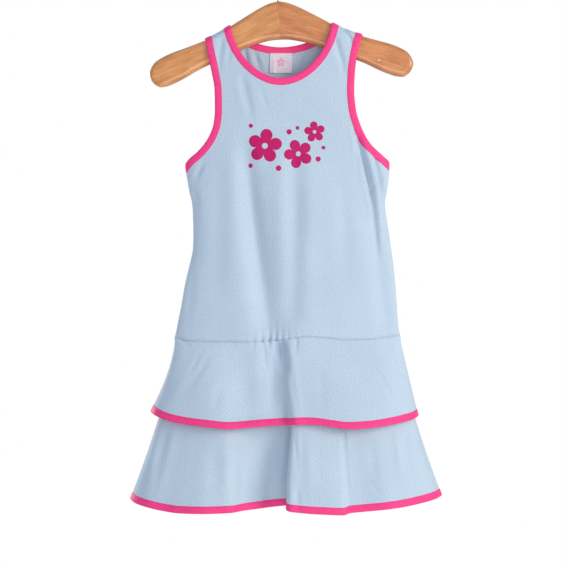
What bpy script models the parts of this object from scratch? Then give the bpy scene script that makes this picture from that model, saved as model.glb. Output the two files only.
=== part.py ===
"""A girl's sleeveless tennis dress hung on a flat wooden hanger, one closed solid for each sewn piece.

Metres, +Z up, and the front faces -Y. The origin is where a rod or peg holds the part: the top of the hook's
inner curve. Lengths below are named in millimetres and become metres as each mesh is made. The hanger hangs
turned a little in its own plane, because the dress sits off its middle.

Each cloth panel is a surface with two directions, read from short tables, and its wall is that surface moved
out and in along its own normals. The bindings run along the same surfaces, so they meet the panels."""

import math

import bmesh
import bpy
import numpy as np

MM = 0.001

# Cloth
CLOTH = 1.2
BINDING_WIDTH = 8.4
BINDING_THICKNESS = 2.2
BINDING_FULL_AT = 0.82
BINDING_SEWN_SHARE = 0.8
SEAM_GAP = 0.3
LAYER_STEP = 1.7

# Hanger
HANGER_THICKNESS = 12.0
HANGER_TURN = math.radians(2.5)
ARM_END = 151.8
TIP_START = 138.0
TIP_THINNEST = 0.35
WOOD_ROUNDING = 0.72
HOOK_WIRE = 4.0
HOOK_INNER_RADIUS = 17.0
HOOK_NECK_RADIUS = 9.0
HOOK_TIP_ANGLE = math.radians(197.0)
BORE_DEPTH = 20.0
APEX = -62.0

# The arm's outline: distance from the middle, top edge, bottom edge
ARM_ROWS = (
    (0.0, APEX, -105.7),
    (9.0, -63.8, -106.2),
    (22.0, -69.2, -108.6),
    (36.0, -76.8, -112.5),
    (50.0, -84.8, -118.0),
    (66.0, -94.0, -124.5),
    (82.0, -101.6, -131.0),
    (98.0, -107.4, -138.2),
    (111.0, -111.6, -145.2),
    (123.0, -115.4, -150.7),
    (132.0, -118.9, -153.8),
    (139.0, -122.4, -154.6),
    (145.0, -126.6, -151.6),
    (149.3, -132.6, -146.6),
    (ARM_END - 0.4, -138.0, -141.4),
)

# The bodice's width: height, left side, right side. Above the underarm the same sections go on, so that
# the straps and the yoke lie on one smooth form.
SIDE_ROWS = (
    (-80.0, -125.0, 150.0),
    (-200.0, -110.0, 136.0),
    (-248.0, -104.0, 129.5),
    (-262.0, -102.3, 129.2),
    (-280.0, -99.2, 126.7),
    (-294.0, -96.0, 124.6),
    (-310.0, -95.0, 126.3),
    (-328.0, -94.6, 129.0),
    (-345.0, -95.0, 131.4),
    (-362.0, -98.5, 133.8),
    (-384.0, -103.8, 136.0),
    (-410.0, -108.3, 138.1),
    (-432.0, -112.7, 139.8),
    (-447.0, -115.5, 141.7),
)

# How far the front and the back stand from the middle plane: height, front, back
DEPTH_ROWS = (
    (-80.0, 12.0, 12.0),
    (-135.0, 12.5, 12.5),
    (-180.0, 14.5, 14.0),
    (-250.0, 18.0, 17.0),
    (-345.0, 19.0, 18.0),
    (-447.0, 20.0, 19.0),
)

# The armhole's open edge: height, left armhole, right armhole
ARMHOLE_ROWS = (
    (-90.0, -84.0, 100.5),
    (-102.0, -82.0, 98.6),
    (-119.0, -78.8, 94.0),
    (-142.0, -74.0, 90.4),
    (-165.0, -70.2, 89.3),
    (-188.0, -69.8, 91.4),
    (-203.0, -71.2, 95.8),
    (-215.0, -75.2, 101.2),
    (-226.0, -81.8, 108.6),
    (-236.0, -91.0, 118.0),
    (-243.0, -99.6, 126.0),
    (-248.0, -104.0, 129.5),
)
UNDERARM = -248.0

# The neck's open edge is half of an egg curve: middle, half width, height of its widest place, depth to its
# lowest point at the front and at the back, and the curve's exponent
NECK_MIDDLE = 5.6
NECK_HALF_WIDTH = 58.6
NECK_TOP = -79.0
NECK_DROP = {"front": 72.2, "back": 33.8}
NECK_POWER = 1.87

# The drop-waist seam: place across, height
WAIST_ROWS = (
    (-115.5, -447.0),
    (-107.0, -450.0),
    (-98.0, -451.8),
    (-40.0, -452.3),
    (-10.0, -451.0),
    (11.0, -449.0),
    (34.0, -446.3),
    (56.0, -447.6),
    (80.0, -450.0),
    (104.0, -449.8),
    (123.0, -447.5),
    (141.7, -445.5),
)

# One row for each fold line of a tier: its name, where it meets the hem (x, y, z), where it starts on the waist
UPPER_FRONT = (
    ("left seam", -144.0, 0.0, -532.3, -115.5),
    ("left turn", -139.0, -12.0, -535.2, -114.0),
    ("left bend", -124.5, -24.0, -540.5, -107.0),
    ("left flat", -102.6, -32.0, -544.7, -94.0),
    ("left rise", -79.7, -38.0, -547.2, -79.0),
    ("left crest", -54.8, -42.0, -549.1, -59.0),
    ("left fall", -29.0, -40.0, -547.2, -34.0),
    ("trough side", -6.6, -35.5, -546.0, -14.0),
    ("trough", 9.2, -34.0, -545.3, 1.0),
    ("trough wall", 18.2, -40.0, -545.0, 10.0),
    ("ridge", 24.0, -44.0, -544.2, 16.0),
    ("behind ridge", 34.0, -43.0, -544.1, 23.0),
    ("middle", 46.0, -44.0, -544.4, 32.0),
    ("right rise", 64.1, -46.5, -546.6, 48.0),
    ("right crest", 83.1, -48.0, -548.8, 68.0),
    ("right flat", 105.6, -45.0, -547.7, 91.0),
    ("right fall", 128.4, -38.0, -544.9, 113.0),
    ("right bend", 146.1, -27.0, -542.0, 127.0),
    ("right turn", 157.5, -14.0, -539.6, 138.0),
    ("right seam", 163.2, 0.0, -537.4, 141.7),
)
UPPER_BACK = (
    ("left seam", -144.0, 0.0, -532.3, -115.5),
    ("left turn", -139.5, 11.0, -535.0, -114.0),
    ("left bend", -127.0, 22.0, -540.0, -106.0),
    ("left crest", -98.0, 34.0, -545.0, -88.0),
    ("left dip", -66.0, 30.0, -546.0, -62.0),
    ("middle crest", -34.0, 38.0, -548.0, -34.0),
    ("middle dip", 4.0, 31.5, -547.0, 0.0),
    ("middle rise", 42.0, 39.0, -548.0, 36.0),
    ("right dip", 76.0, 32.5, -547.0, 66.0),
    ("right crest", 108.0, 37.0, -546.0, 92.0),
    ("right bend", 146.0, 25.0, -542.0, 124.0),
    ("right turn", 158.0, 12.0, -539.0, 137.0),
    ("right seam", 163.2, 0.0, -537.4, 141.7),
)
LOWER_FRONT = (
    ("left seam", -167.2, 0.0, -632.6, -115.5),
    ("left turn", -162.0, -12.0, -635.1, -114.0),
    ("left bend", -147.0, -25.0, -638.8, -104.5),
    ("left dip", -127.0, -31.0, -642.6, -92.0),
    ("left rise", -108.0, -38.0, -644.3, -78.0),
    ("left crest", -82.0, -44.0, -644.2, -57.0),
    ("left fall", -54.0, -42.0, -643.5, -32.0),
    ("trough side", -29.0, -33.0, -641.6, -10.0),
    ("trough", -4.0, -21.0, -640.0, 4.0),
    ("tuck floor", 14.0, -14.0, -638.2, 10.5),
    ("tuck turn", 22.0, -17.0, -637.4, 14.0),
    ("tuck wall", 20.5, -27.0, -637.6, 16.0),
    ("flap back", 14.0, -38.0, -638.6, 17.8),
    ("flap edge", 11.5, -46.0, -639.4, 19.6),
    ("flap lip", 16.0, -51.5, -640.8, 22.0),
    ("flap dip", 26.0, -51.5, -642.0, 27.0),
    ("flap crest", 40.5, -53.5, -643.0, 36.0),
    ("flap middle", 60.5, -54.0, -643.9, 52.0),
    ("flap end", 75.5, -52.5, -644.5, 66.0),
    ("step", 84.0, -44.5, -643.0, 74.0),
    ("right rise", 97.0, -44.0, -641.8, 84.0),
    ("right crest", 122.0, -46.0, -639.2, 100.0),
    ("right fall", 145.0, -40.5, -636.6, 113.0),
    ("right bend", 166.0, -31.0, -633.2, 126.0),
    ("right turn", 181.9, -18.0, -630.3, 137.0),
    ("right seam", 190.2, 0.0, -628.6, 141.7),
)
LOWER_BACK = (
    ("left seam", -167.2, 0.0, -632.6, -115.5),
    ("left turn", -162.0, 12.0, -634.5, -114.0),
    ("left bend", -148.0, 24.0, -637.5, -105.0),
    ("left crest", -118.0, 36.0, -641.0, -88.0),
    ("left dip", -86.0, 27.0, -640.0, -66.0),
    ("middle crest", -48.0, 41.0, -643.0, -38.0),
    ("middle dip", -4.0, 28.0, -641.0, -4.0),
    ("middle rise", 40.0, 43.0, -643.0, 34.0),
    ("right dip", 78.0, 30.0, -641.0, 66.0),
    ("right crest", 118.0, 40.0, -640.0, 92.0),
    ("right fall", 150.0, 33.0, -637.0, 115.0),
    ("right bend", 172.0, 21.0, -633.5, 128.0),
    ("right turn", 184.5, 10.5, -630.5, 137.5),
    ("right seam", 190.2, 0.0, -628.6, 141.7),
)

# How a tier leaves the straight line from waist to hem: the power of its flare at the left and right side, and
# that of its folds' depth
UPPER_FLARE = (1.6, 1.08)
LOWER_FLARE = (1.35, 1.42)
FOLD_GROWTH = 1.1

# The label inside the back neck
LABEL_WIDTH = 25.7
LABEL_HEIGHT = 21.6
LABEL_THICKNESS = 1.0

# Where the strap turns over the arm
ROLL = 8.0
ROLL_ROWS = 4

# Mesh density, the angle on the neck curve where a strap's columns end and the middle ones start, and how
# much further out the middle columns stand at the waist
STRAP_ROWS = 4
ARMHOLE_STEPS = 10
WAIST_STEPS = 7
SIDE_COLUMNS = 5
MIDDLE_COLUMNS = 10
CROWDING = 1.5
NECK_CORNER = math.radians(38.0)
MIDDLE_SPREAD = 1.05
CORNER_ROW = ROLL_ROWS + STRAP_ROWS
UNDERARM_ROW = CORNER_ROW + ARMHOLE_STEPS
WAIST_ROW = UNDERARM_ROW + WAIST_STEPS
COLUMNS = 2 * SIDE_COLUMNS + MIDDLE_COLUMNS

SIDE_SIGN = {"left": -1.0, "right": 1.0}
FACE_SIGN = {"front": -1.0, "back": 1.0}


def column(table, index):
    """One column of a table as an array."""
    return np.array([row[index] for row in table], float)


def smooth(places, values, at):
    """Reads a smooth curve through a table's points, without overshoot; outside them it stays level."""
    if places[0] > places[-1]:
        places, values = places[::-1], values[::-1]
    span = np.diff(places)
    rise = np.diff(values) / span
    slope = np.zeros(len(places))
    slope[0], slope[-1] = rise[0], rise[-1]
    for k in range(1, len(places) - 1):
        if rise[k - 1] * rise[k] > 0.0:
            before, after = 2.0 * span[k] + span[k - 1], span[k] + 2.0 * span[k - 1]
            slope[k] = (before + after) / (before / rise[k - 1] + after / rise[k])
    at = min(max(at, places[0]), places[-1])
    k = min(max(int(np.searchsorted(places, at)) - 1, 0), len(span) - 1)
    t = (at - places[k]) / span[k]
    return float(
        values[k] * (1 + 2 * t) * (1 - t) ** 2
        + values[k + 1] * t * t * (3 - 2 * t)
        + span[k] * (slope[k] * t * (1 - t) ** 2 - slope[k + 1] * t * t * (1 - t))
    )


def mix(a, b, t):
    """The value a share t of the way from a to b."""
    return a + (b - a) * t


def finish(name, colour, roughness):
    """A plain material with its colour and roughness."""
    material = bpy.data.materials.new(name)
    material.use_nodes = True
    shader = material.node_tree.nodes["Principled BSDF"]
    shader.inputs["Base Color"].default_value = (*colour, 1.0)
    shader.inputs["Roughness"].default_value = roughness
    shader.inputs["Metallic"].default_value = 0.0
    return material


def add_solid(name, points, faces, material):
    """Makes one closed mesh object from points in millimetres, with its faces turned outward."""
    mesh = bpy.data.meshes.new(name)
    mesh.from_pydata([tuple(float(c) * MM for c in p) for p in points], [], faces)
    shape = bmesh.new()
    shape.from_mesh(mesh)
    bmesh.ops.recalc_face_normals(shape, faces=shape.faces)
    shape.to_mesh(mesh)
    shape.free()
    mesh.shade_smooth()
    mesh.set_sharp_from_angle(angle=math.radians(50.0))
    mesh.materials.append(material)
    solid = bpy.data.objects.new(name, mesh)
    bpy.context.scene.collection.objects.link(solid)
    return solid


def add_wall(name, places, cells, thickness, material):
    """A closed wall: each place is a point and its normal, each cell four places in order round it."""
    keys = sorted(places)
    number = {key: k for k, key in enumerate(keys)}
    outer = [places[key][0] + places[key][1] * (thickness / 2) for key in keys]
    inner = [places[key][0] - places[key][1] * (thickness / 2) for key in keys]
    count = len(keys)
    faces = []
    edges = set()
    for cell in cells:
        a, b, c, d = (number[key] for key in cell)
        first, second = (np.linalg.norm(places[cell[k]][0] - places[cell[k + 2]][0]) for k in (0, 1))
        halves = [(a, b, c), (a, c, d)] if first <= second else [(a, b, d), (b, c, d)]
        for half in halves:
            faces.append(list(half))
            faces.append([corner + count for corner in reversed(half)])
        edges.update([(a, b), (b, c), (c, d), (d, a)])
    for start, end in sorted(edges):
        if (end, start) not in edges:
            faces.append([end, start, start + count, end + count])
    return add_solid(name, outer + inner, faces, material)


def add_loop(name, rings, material):
    """A closed band from rings of equal length, the last joined to the first."""
    size = len(rings[0])
    faces = []
    for k in range(len(rings)):
        after = (k + 1) % len(rings)
        for c in range(size):
            d = (c + 1) % size
            faces.append([k * size + c, k * size + d, after * size + d, after * size + c])
    return add_solid(name, [p for ring in rings for p in ring], faces, material)


def normal_of(surface, a, b, step_a, step_b, sign):
    """The unit normal of surface(a, b), turned to the side that sign says."""
    across = surface(a + step_a, b) - surface(a - step_a, b)
    along = surface(a, b + step_b) - surface(a, b - step_b)
    normal = np.cross(across, along) * sign
    return normal / np.linalg.norm(normal)


def on_seam(place, normal, sign):
    """A place at a side seam: half the seam's gap from the middle plane, its normal in that plane."""
    level = np.array([normal[0], 0.0, normal[2]])
    return np.array([place[0], sign * SEAM_GAP / 2, place[2]]), level / np.linalg.norm(level)


def band_ring(seam_place, seam_normal, edge_place, edge_normal):
    """The five corners of a binding's section, from its sewn edge to its rounded free edge."""
    half = BINDING_THICKNESS / 2
    full = mix(seam_place, edge_place, BINDING_FULL_AT)
    middle = seam_normal + edge_normal
    middle = middle / np.linalg.norm(middle)
    return [
        seam_place + seam_normal * half * BINDING_SEWN_SHARE,
        full + middle * half,
        edge_place,
        full - middle * half,
        seam_place - seam_normal * half * BINDING_SEWN_SHARE,
    ]


# Hanger form

ARM_AT, ARM_TOP, ARM_BOTTOM = (column(ARM_ROWS, k) for k in range(3))


def turned(x, z):
    """A point of the hanger's own plane, turned as the hanger hangs."""
    cos, sin = math.cos(HANGER_TURN), math.sin(HANGER_TURN)
    return x * cos - z * sin, x * sin + z * cos


ARM_CREST = [turned(side * d, smooth(ARM_AT, ARM_TOP, d)) for side in (-1, 1) for d in np.linspace(0.5, 140, 40)]
ARM_CREST = np.array(sorted(ARM_CREST))


def shoulder_top(x):
    """Height of the strap's middle surface where it crosses the arm."""
    return float(np.interp(x, ARM_CREST[:, 0], ARM_CREST[:, 1])) + SEAM_GAP + BINDING_THICKNESS / 2


# Bodice form

SIDE_AT, SIDE_LEFT, SIDE_RIGHT = (column(SIDE_ROWS, k) for k in range(3))
DEPTH_AT, DEPTH_FRONT, DEPTH_BACK = (column(DEPTH_ROWS, k) for k in range(3))
DEPTH_OF = {"front": DEPTH_FRONT, "back": DEPTH_BACK}
SIDE_OF = {"left": SIDE_LEFT, "right": SIDE_RIGHT}
WAIST_AT, WAIST_HEIGHT = (column(WAIST_ROWS, k) for k in range(2))


def waist(x):
    """Height of the drop-waist seam."""
    return smooth(WAIST_AT, WAIST_HEIGHT, x)


def section(height):
    """Middle and half width of the bodice at a height."""
    left, right = smooth(SIDE_AT, SIDE_LEFT, height), smooth(SIDE_AT, SIDE_RIGHT, height)
    return (left + right) / 2, (right - left) / 2


def bodice(face, turn, height):
    """A point of the bodice's middle surface. turn goes from -1 at the left seam to 1 at the right one, and
    height follows the cloth, so that above the arm it rolls over the shoulder."""
    middle, half = section(height)
    x = middle + half * math.sin(turn * math.pi / 2)
    start = shoulder_top(x) - ROLL
    z = min(height, start)
    y = smooth(DEPTH_AT, DEPTH_OF[face], z) * math.cos(turn * math.pi / 2)
    if height > start:
        angle = min((height - start) / ROLL, math.pi / 2)
        y *= math.cos(angle)
        z = start + ROLL * math.sin(angle)
    return np.array([x, FACE_SIGN[face] * y, z])


def bodice_place(face, turn, height):
    """A point of the bodice and its outward normal."""
    return bodice(face, turn, height), normal_of(
        lambda a, b: bodice(face, a, b), turn, height, 0.002, 0.3, -FACE_SIGN[face]
    )


def turn_at(x, height):
    """The turn at which the bodice reaches x."""
    middle, half = section(height)
    return math.asin(min(max((x - middle) / half, -1.0), 1.0)) * 2 / math.pi


def side_turn(face, height):
    """The turn at which a panel ends, half the seam's gap short of the side seam."""
    return 1.0 - math.asin(SEAM_GAP / 2 / smooth(DEPTH_AT, DEPTH_OF[face], height)) * 2 / math.pi


def height_on_roll(x, share):
    """Height along the cloth for a share of the roll, from 0 on the shoulder seam to 1 where it hangs."""
    return shoulder_top(x) - ROLL + ROLL * (1.0 - share) * math.pi / 2


class ArmholeEdge:
    """A curve beside the armhole's open edge, at a distance into the cloth."""

    def __init__(self, side, distance):
        index = {"left": 1, "right": 2}[side]
        heights = np.linspace(ARMHOLE_ROWS[0][0], UNDERARM, 70)
        edge = np.array([smooth(column(ARMHOLE_ROWS, 0), column(ARMHOLE_ROWS, index), h) for h in heights])
        run = np.stack([np.gradient(edge), np.gradient(heights)], axis=1)
        run /= np.linalg.norm(run, axis=1)[:, None]
        into_cloth = np.stack([-run[:, 1], run[:, 0]], axis=1) * -SIDE_SIGN[side]
        curve = np.stack([edge, heights], axis=1) + into_cloth * distance
        self.side = side
        self.curve = np.vstack([curve, curve[-1] + run[-1] * 2.0 * max(distance, 0.5)])
        self.end = UNDERARM
        while distance and SIDE_SIGN[side] * (self.x(self.end) - self.side_x(self.end)) < 0.0:
            self.end -= 0.05
        self.top = ARMHOLE_ROWS[1][0]
        for _ in range(8):
            self.top = height_on_roll(self.x(self.top), 0.0)

    def side_x(self, height):
        """The side seam at a height."""
        return smooth(SIDE_AT, SIDE_OF[self.side], height)

    def x(self, height):
        """The curve's place across at a height."""
        return float(np.interp(height, self.curve[::-1, 1], self.curve[::-1, 0]))

    def at(self, row, rows):
        """Place across and height at a row: the roll's rows first, then steps that shorten to the underarm."""
        if row <= ROLL_ROWS:
            share = row / ROLL_ROWS
            x = self.x(mix(self.top, self.top - ROLL * math.pi / 2, share))
            return x, height_on_roll(x, share)
        start = self.at(ROLL_ROWS, rows)[1]
        share = (row - ROLL_ROWS) / (rows - ROLL_ROWS)
        height = mix(start, self.end, 1.0 - (1.0 - share) ** 1.3)
        return self.x(height), height


class NeckEdge:
    """A curve beside the neck's open edge, at a distance into the cloth."""

    def __init__(self, face, distance):
        self.half = NECK_HALF_WIDTH + distance
        self.drop = NECK_DROP[face] + distance
        self.stretch = {-1.0: 1.0, 1.0: 1.0}
        if face == "back":
            front = NeckEdge("front", distance)
            for side, sign in SIDE_SIGN.items():
                for _ in range(4):
                    reach = front.at(sign * front.shoulder_angle(side))[0] - NECK_MIDDLE
                    own = self.at(sign * self.shoulder_angle(side))[0] - NECK_MIDDLE
                    self.stretch[sign] *= reach / own

    def at(self, angle):
        """Place across and height for an angle from straight down. The back is stretched to meet the front."""
        power = 2 / NECK_POWER
        sign = math.copysign(1.0, angle)
        across = sign * abs(math.sin(angle)) ** power * self.half * self.stretch[sign]
        return NECK_MIDDLE + across, NECK_TOP - abs(math.cos(angle)) ** power * self.drop

    def shoulder_angle(self, side):
        """The angle at which the curve reaches the shoulder seam."""
        low, high = 0.3, math.pi / 2
        for _ in range(40):
            angle = (low + high) / 2
            x, height = self.at(SIDE_SIGN[side] * angle)
            if height < height_on_roll(x, 0.0):
                low = angle
            else:
                high = angle
        return low

    def strap(self, side, row):
        """Place across and height at a row of the strap, from the shoulder seam to the neck's turning point."""
        top = self.shoulder_angle(side)
        if row > ROLL_ROWS:
            start = self.strap_angle(side, ROLL_ROWS)
            angle = mix(start, NECK_CORNER, (row - ROLL_ROWS) / STRAP_ROWS)
            return self.at(SIDE_SIGN[side] * angle)
        return self.at(SIDE_SIGN[side] * self.strap_angle(side, row))

    def path(self):
        """Every point along the curve, from the left shoulder seam to the right one."""
        left = [self.strap("left", row) for row in range(CORNER_ROW)]
        middle = [self.at(mix(-NECK_CORNER, NECK_CORNER, k / MIDDLE_COLUMNS)) for k in range(MIDDLE_COLUMNS + 1)]
        right = [self.strap("right", row) for row in range(CORNER_ROW - 1, -1, -1)]
        return left + middle + right

    def strap_angle(self, side, row):
        """The curve's angle at a row of the roll."""
        low, high = 0.3, self.shoulder_angle(side)
        for _ in range(40):
            angle = (low + high) / 2
            x, height = self.at(SIDE_SIGN[side] * angle)
            if height < height_on_roll(x, row / ROLL_ROWS):
                low = angle
            else:
                high = angle
        return low


def bodice_panel(face, name, material):
    """The front or back panel: strap columns at each side, and middle columns under the neck."""
    inset = BINDING_WIDTH + SEAM_GAP
    neck = NeckEdge(face, inset)
    armholes = {side: ArmholeEdge(side, inset) for side in SIDE_SIGN}
    waist_ends = {side: neck.at(SIDE_SIGN[side] * NECK_CORNER)[0] * MIDDLE_SPREAD for side in SIDE_SIGN}

    def outer_edge(side, row):
        """Turn and height where a row starts, on the armhole or the side seam."""
        hole = armholes[side]
        if row < UNDERARM_ROW:
            x, height = hole.at(row, UNDERARM_ROW)
            return turn_at(x, height), height
        low = waist(hole.side_x(WAIST_HEIGHT[0])) + SEAM_GAP / 2
        height = mix(hole.end, low, (row - UNDERARM_ROW) / WAIST_STEPS)
        return SIDE_SIGN[side] * side_turn(face, height), height

    def under_neck(share, row):
        """Place across and height of a middle column, from the neck curve straight down to the waist."""
        angle = mix(-NECK_CORNER, NECK_CORNER, share)
        x, height = neck.at(angle)
        low_x = mix(waist_ends["left"], waist_ends["right"], share)
        down = (row - CORNER_ROW) / (WAIST_ROW - CORNER_ROW)
        return mix(x, low_x, down), mix(height, waist(low_x) + SEAM_GAP / 2, down)

    def side_place(side, share, row):
        """A place of the strap and side columns, share 0 at the armhole and 1 at the neck."""
        turn, height = outer_edge(side, row)
        if row <= CORNER_ROW:
            x, near = neck.strap(side, row)
        else:
            x, near = under_neck(0.0 if side == "left" else 1.0, row)
        if row <= ROLL_ROWS:
            x = mix(bodice(face, turn, height)[0], x, share)
            lift = math.asin(SEAM_GAP / 2 / ROLL) / (math.pi / 2) if row == 0 else 0.0
            height = height_on_roll(x, row / ROLL_ROWS + lift)
            return turn_at(x, height), height
        down = max(row - CORNER_ROW, 0) / (WAIST_ROW - CORNER_ROW)
        turn, height = mix(turn, turn_at(x, near), share), mix(height, near, share)
        seam = waist(bodice(face, turn, height)[0]) + SEAM_GAP / 2
        low = mix(outer_edge(side, WAIST_ROW)[1], under_neck(0.0 if side == "left" else 1.0, WAIST_ROW)[1], share)
        return turn, height + (seam - low) * down ** 3

    places = {}
    for row in range(WAIST_ROW + 1):
        for k in range(COLUMNS + 1):
            if k < SIDE_COLUMNS:
                turn, height = side_place("left", (k / SIDE_COLUMNS) ** CROWDING, row)
            elif k > COLUMNS - SIDE_COLUMNS:
                turn, height = side_place("right", ((COLUMNS - k) / SIDE_COLUMNS) ** CROWDING, row)
            elif row < CORNER_ROW and SIDE_COLUMNS < k < COLUMNS - SIDE_COLUMNS:
                continue
            elif row <= CORNER_ROW and k in (SIDE_COLUMNS, COLUMNS - SIDE_COLUMNS):
                turn, height = side_place("left" if k == SIDE_COLUMNS else "right", 1.0, row)
            else:
                x, height = under_neck((k - SIDE_COLUMNS) / MIDDLE_COLUMNS, row)
                turn = turn_at(x, height)
            places[k, row] = bodice_place(face, turn, height)
            if row >= UNDERARM_ROW and k in (0, COLUMNS):
                places[k, row] = on_seam(*places[k, row], FACE_SIGN[face])
    cells = []
    for k in range(COLUMNS):
        for row in range(WAIST_ROW):
            corners = [(k, row), (k, row + 1), (k + 1, row + 1), (k + 1, row)]
            if all(corner in places for corner in corners):
                if not (row < CORNER_ROW and SIDE_COLUMNS <= k < COLUMNS - SIDE_COLUMNS):
                    cells.append(corners)
    return add_wall(name, places, cells, CLOTH, material)


def neck_binding(material):
    """One closed binding round the neck, over both shoulders."""
    rings = []
    for face in FACE_SIGN:
        pairs = list(zip(NeckEdge(face, BINDING_WIDTH).path(), NeckEdge(face, 0.0).path()))
        pairs = pairs[:-1] if face == "front" else pairs[:0:-1]
        for pair in pairs:
            ends = [bodice_place(face, turn_at(x, height), height) for x, height in pair]
            rings.append(band_ring(*ends[0], *ends[1]))
    return add_loop("neck_binding", rings, material)


def armhole_binding(side, material):
    """One closed binding round an armhole, from the shoulder round the underarm and back."""
    curves = ArmholeEdge(side, BINDING_WIDTH), ArmholeEdge(side, 0.0)
    rings = []
    for face in FACE_SIGN:
        order = range(UNDERARM_ROW) if face == "front" else range(UNDERARM_ROW, 0, -1)
        for row in order:
            ends = []
            for curve in curves:
                x, height = curve.at(row, UNDERARM_ROW)
                place, normal = bodice_place(face, turn_at(x, height), height)
                ends.extend(on_seam(place, normal, 0.0) if row == UNDERARM_ROW else (place, normal))
            rings.append(band_ring(*ends))
    return add_loop("armhole_binding_" + side, rings, material)


class Tier:
    """A flared tier's front or back: straight lines from the waist to each fold's place on the hem, drawn
    out into a flare and into folds that deepen on the way down."""

    def __init__(self, face, table, inset, flare):
        self.face, self.inset, self.flare = face, inset, flare
        self.hem = [column(table, k) for k in (1, 2, 3)]
        self.start = column(table, 4)
        steps = np.hypot(np.diff(self.hem[0]), np.diff(self.hem[1]))
        self.at = np.concatenate([[0.0], np.cumsum(steps)]) / steps.sum()

    def ends(self, t):
        """The place on the waist and the place on the hem."""
        x = smooth(self.at, self.start, t)
        height = waist(x) - SEAM_GAP / 2 - self.inset / 2
        top, normal = bodice_place(self.face, turn_at(x, height), height)
        return top - normal * self.inset, np.array([smooth(self.at, values, t) for values in self.hem])

    def point(self, t, down):
        """A point of the middle surface, down 0 at the waist and 1 at the hem."""
        top, low = self.ends(t)
        flare = mix(self.flare[0], self.flare[1], min(max(t, 0.0), 1.0))
        down = max(down, 0.0)
        return top + (low - top) * np.array([down**flare, down**FOLD_GROWTH, down])

    def place(self, t, down):
        """A point and its outward normal."""
        normal = normal_of(self.point, t, down, 0.004, 0.01, FACE_SIGN[self.face])
        return self.point(t, down), normal

    def down_at(self, t, distance):
        """How far down the tier is a distance above its free edge."""
        top, low = self.ends(t)
        return 1.0 - distance / np.linalg.norm(low - top)


def tier_panel(name, tier, columns, rows, material):
    """The tier's cloth, from the waist seam to the binding."""
    places, cells = {}, []
    for k in range(columns + 1):
        t = k / columns
        low = tier.down_at(t, BINDING_WIDTH + SEAM_GAP)
        for row in range(rows + 1):
            place = tier.place(t, low * row / rows)
            if k in (0, columns):
                place = on_seam(*place, FACE_SIGN[tier.face])
            places[k, row] = place
            if k and row:
                cells.append([(k - 1, row - 1), (k - 1, row), (k, row), (k, row - 1)])
    return add_wall(name, places, cells, CLOTH, material)


def hem_binding(name, front, back, columns, material):
    """One closed binding round a tier's hem."""
    rings = []
    for tier, count in zip((front, back), columns):
        order = range(count) if tier is front else range(count, 0, -1)
        for k in order:
            t = k / count
            section_ends = []
            for distance in (BINDING_WIDTH, 0.0):
                place, normal = tier.place(t, tier.down_at(t, distance))
                if k in (0, count):
                    place, normal = on_seam(place, normal, 0.0)
                section_ends.extend((place, normal))
            rings.append(band_ring(*section_ends))
    return add_loop(name, rings, material)


def neck_label(material):
    """The satin label inside the back neck, on the back panel's points moved in."""
    columns, rows = 4, 3
    top = NeckEdge("back", BINDING_WIDTH + SEAM_GAP).at(0.0)[1]
    inward = CLOTH / 2 + SEAM_GAP + LABEL_THICKNESS / 2
    places, cells = {}, []
    for k in range(columns + 1):
        for row in range(rows + 1):
            x = NECK_MIDDLE + LABEL_WIDTH * (k / columns - 0.5)
            height = top - LABEL_HEIGHT * row / rows
            place, normal = bodice_place("back", turn_at(x, height), height)
            places[k, row] = (place - normal * inward, normal)
            if k and row:
                cells.append([(k - 1, row - 1), (k - 1, row), (k, row), (k, row - 1)])
    return add_wall("neck_label", places, cells, LABEL_THICKNESS, material)


def hanger_arm(side, material, frame, bore):
    """Half of the wooden hanger: rounded sections along the arm, closed at the tip, with half of the bore."""
    corners, sections = 14, 22
    sign = SIDE_SIGN[side]
    points = []
    reach = ARM_AT[-1]
    for k in range(sections + 1):
        at = SEAM_GAP / 2 if k == 0 else reach * math.sin(k / sections * math.pi / 2) ** 0.9
        top, bottom = smooth(ARM_AT, ARM_TOP, at), smooth(ARM_AT, ARM_BOTTOM, at)
        past = max(at - TIP_START, 0.0) / (ARM_END - TIP_START)
        half = HANGER_THICKNESS / 2 * max(math.sqrt(1.0 - past**2), TIP_THINNEST)
        for c in range(corners):
            angle = 2 * math.pi * (c + 0.5) / corners
            cos, sin = math.cos(angle), math.sin(angle)
            y = half * math.copysign(abs(cos) ** WOOD_ROUNDING, cos)
            z = (top + bottom) / 2 + (top - bottom) / 2 * math.copysign(abs(sin) ** WOOD_ROUNDING, sin)
            points.append((sign * at, y, z))
    faces = [list(range(corners)), list(range(sections * corners, (sections + 1) * corners))]
    for k in range(sections):
        for c in range(corners):
            d = (c + 1) % corners
            faces.append([k * corners + c, k * corners + d, (k + 1) * corners + d, (k + 1) * corners + c])
    arm = add_solid("hanger_arm_" + side, points, faces, material)
    arm.parent = frame
    cut = arm.modifiers.new("bore for the hook", "BOOLEAN")
    cut.operation = "DIFFERENCE"
    cut.solver = "EXACT"
    cut.object = bore
    return arm


def hook_bore(frame):
    """The cutter for the hook's bore, down the glue joint."""
    mesh = bpy.data.meshes.new("bore_cutter")
    shape = bmesh.new()
    radius = (HOOK_WIRE / 2 + SEAM_GAP) * MM
    above = 10.0
    bmesh.ops.create_cone(
        shape, cap_ends=True, segments=16, radius1=radius, radius2=radius, depth=(BORE_DEPTH + above) * MM
    )
    shape.to_mesh(mesh)
    shape.free()
    bore = bpy.data.objects.new("bore_cutter", mesh)
    bore.location = (0.0, 0.0, (APEX - BORE_DEPTH / 2 + above / 2) * MM)
    bore.parent = frame
    bore.hide_render = True
    bore.display_type = "WIRE"
    bpy.context.scene.collection.objects.link(bore)
    return bore


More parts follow.
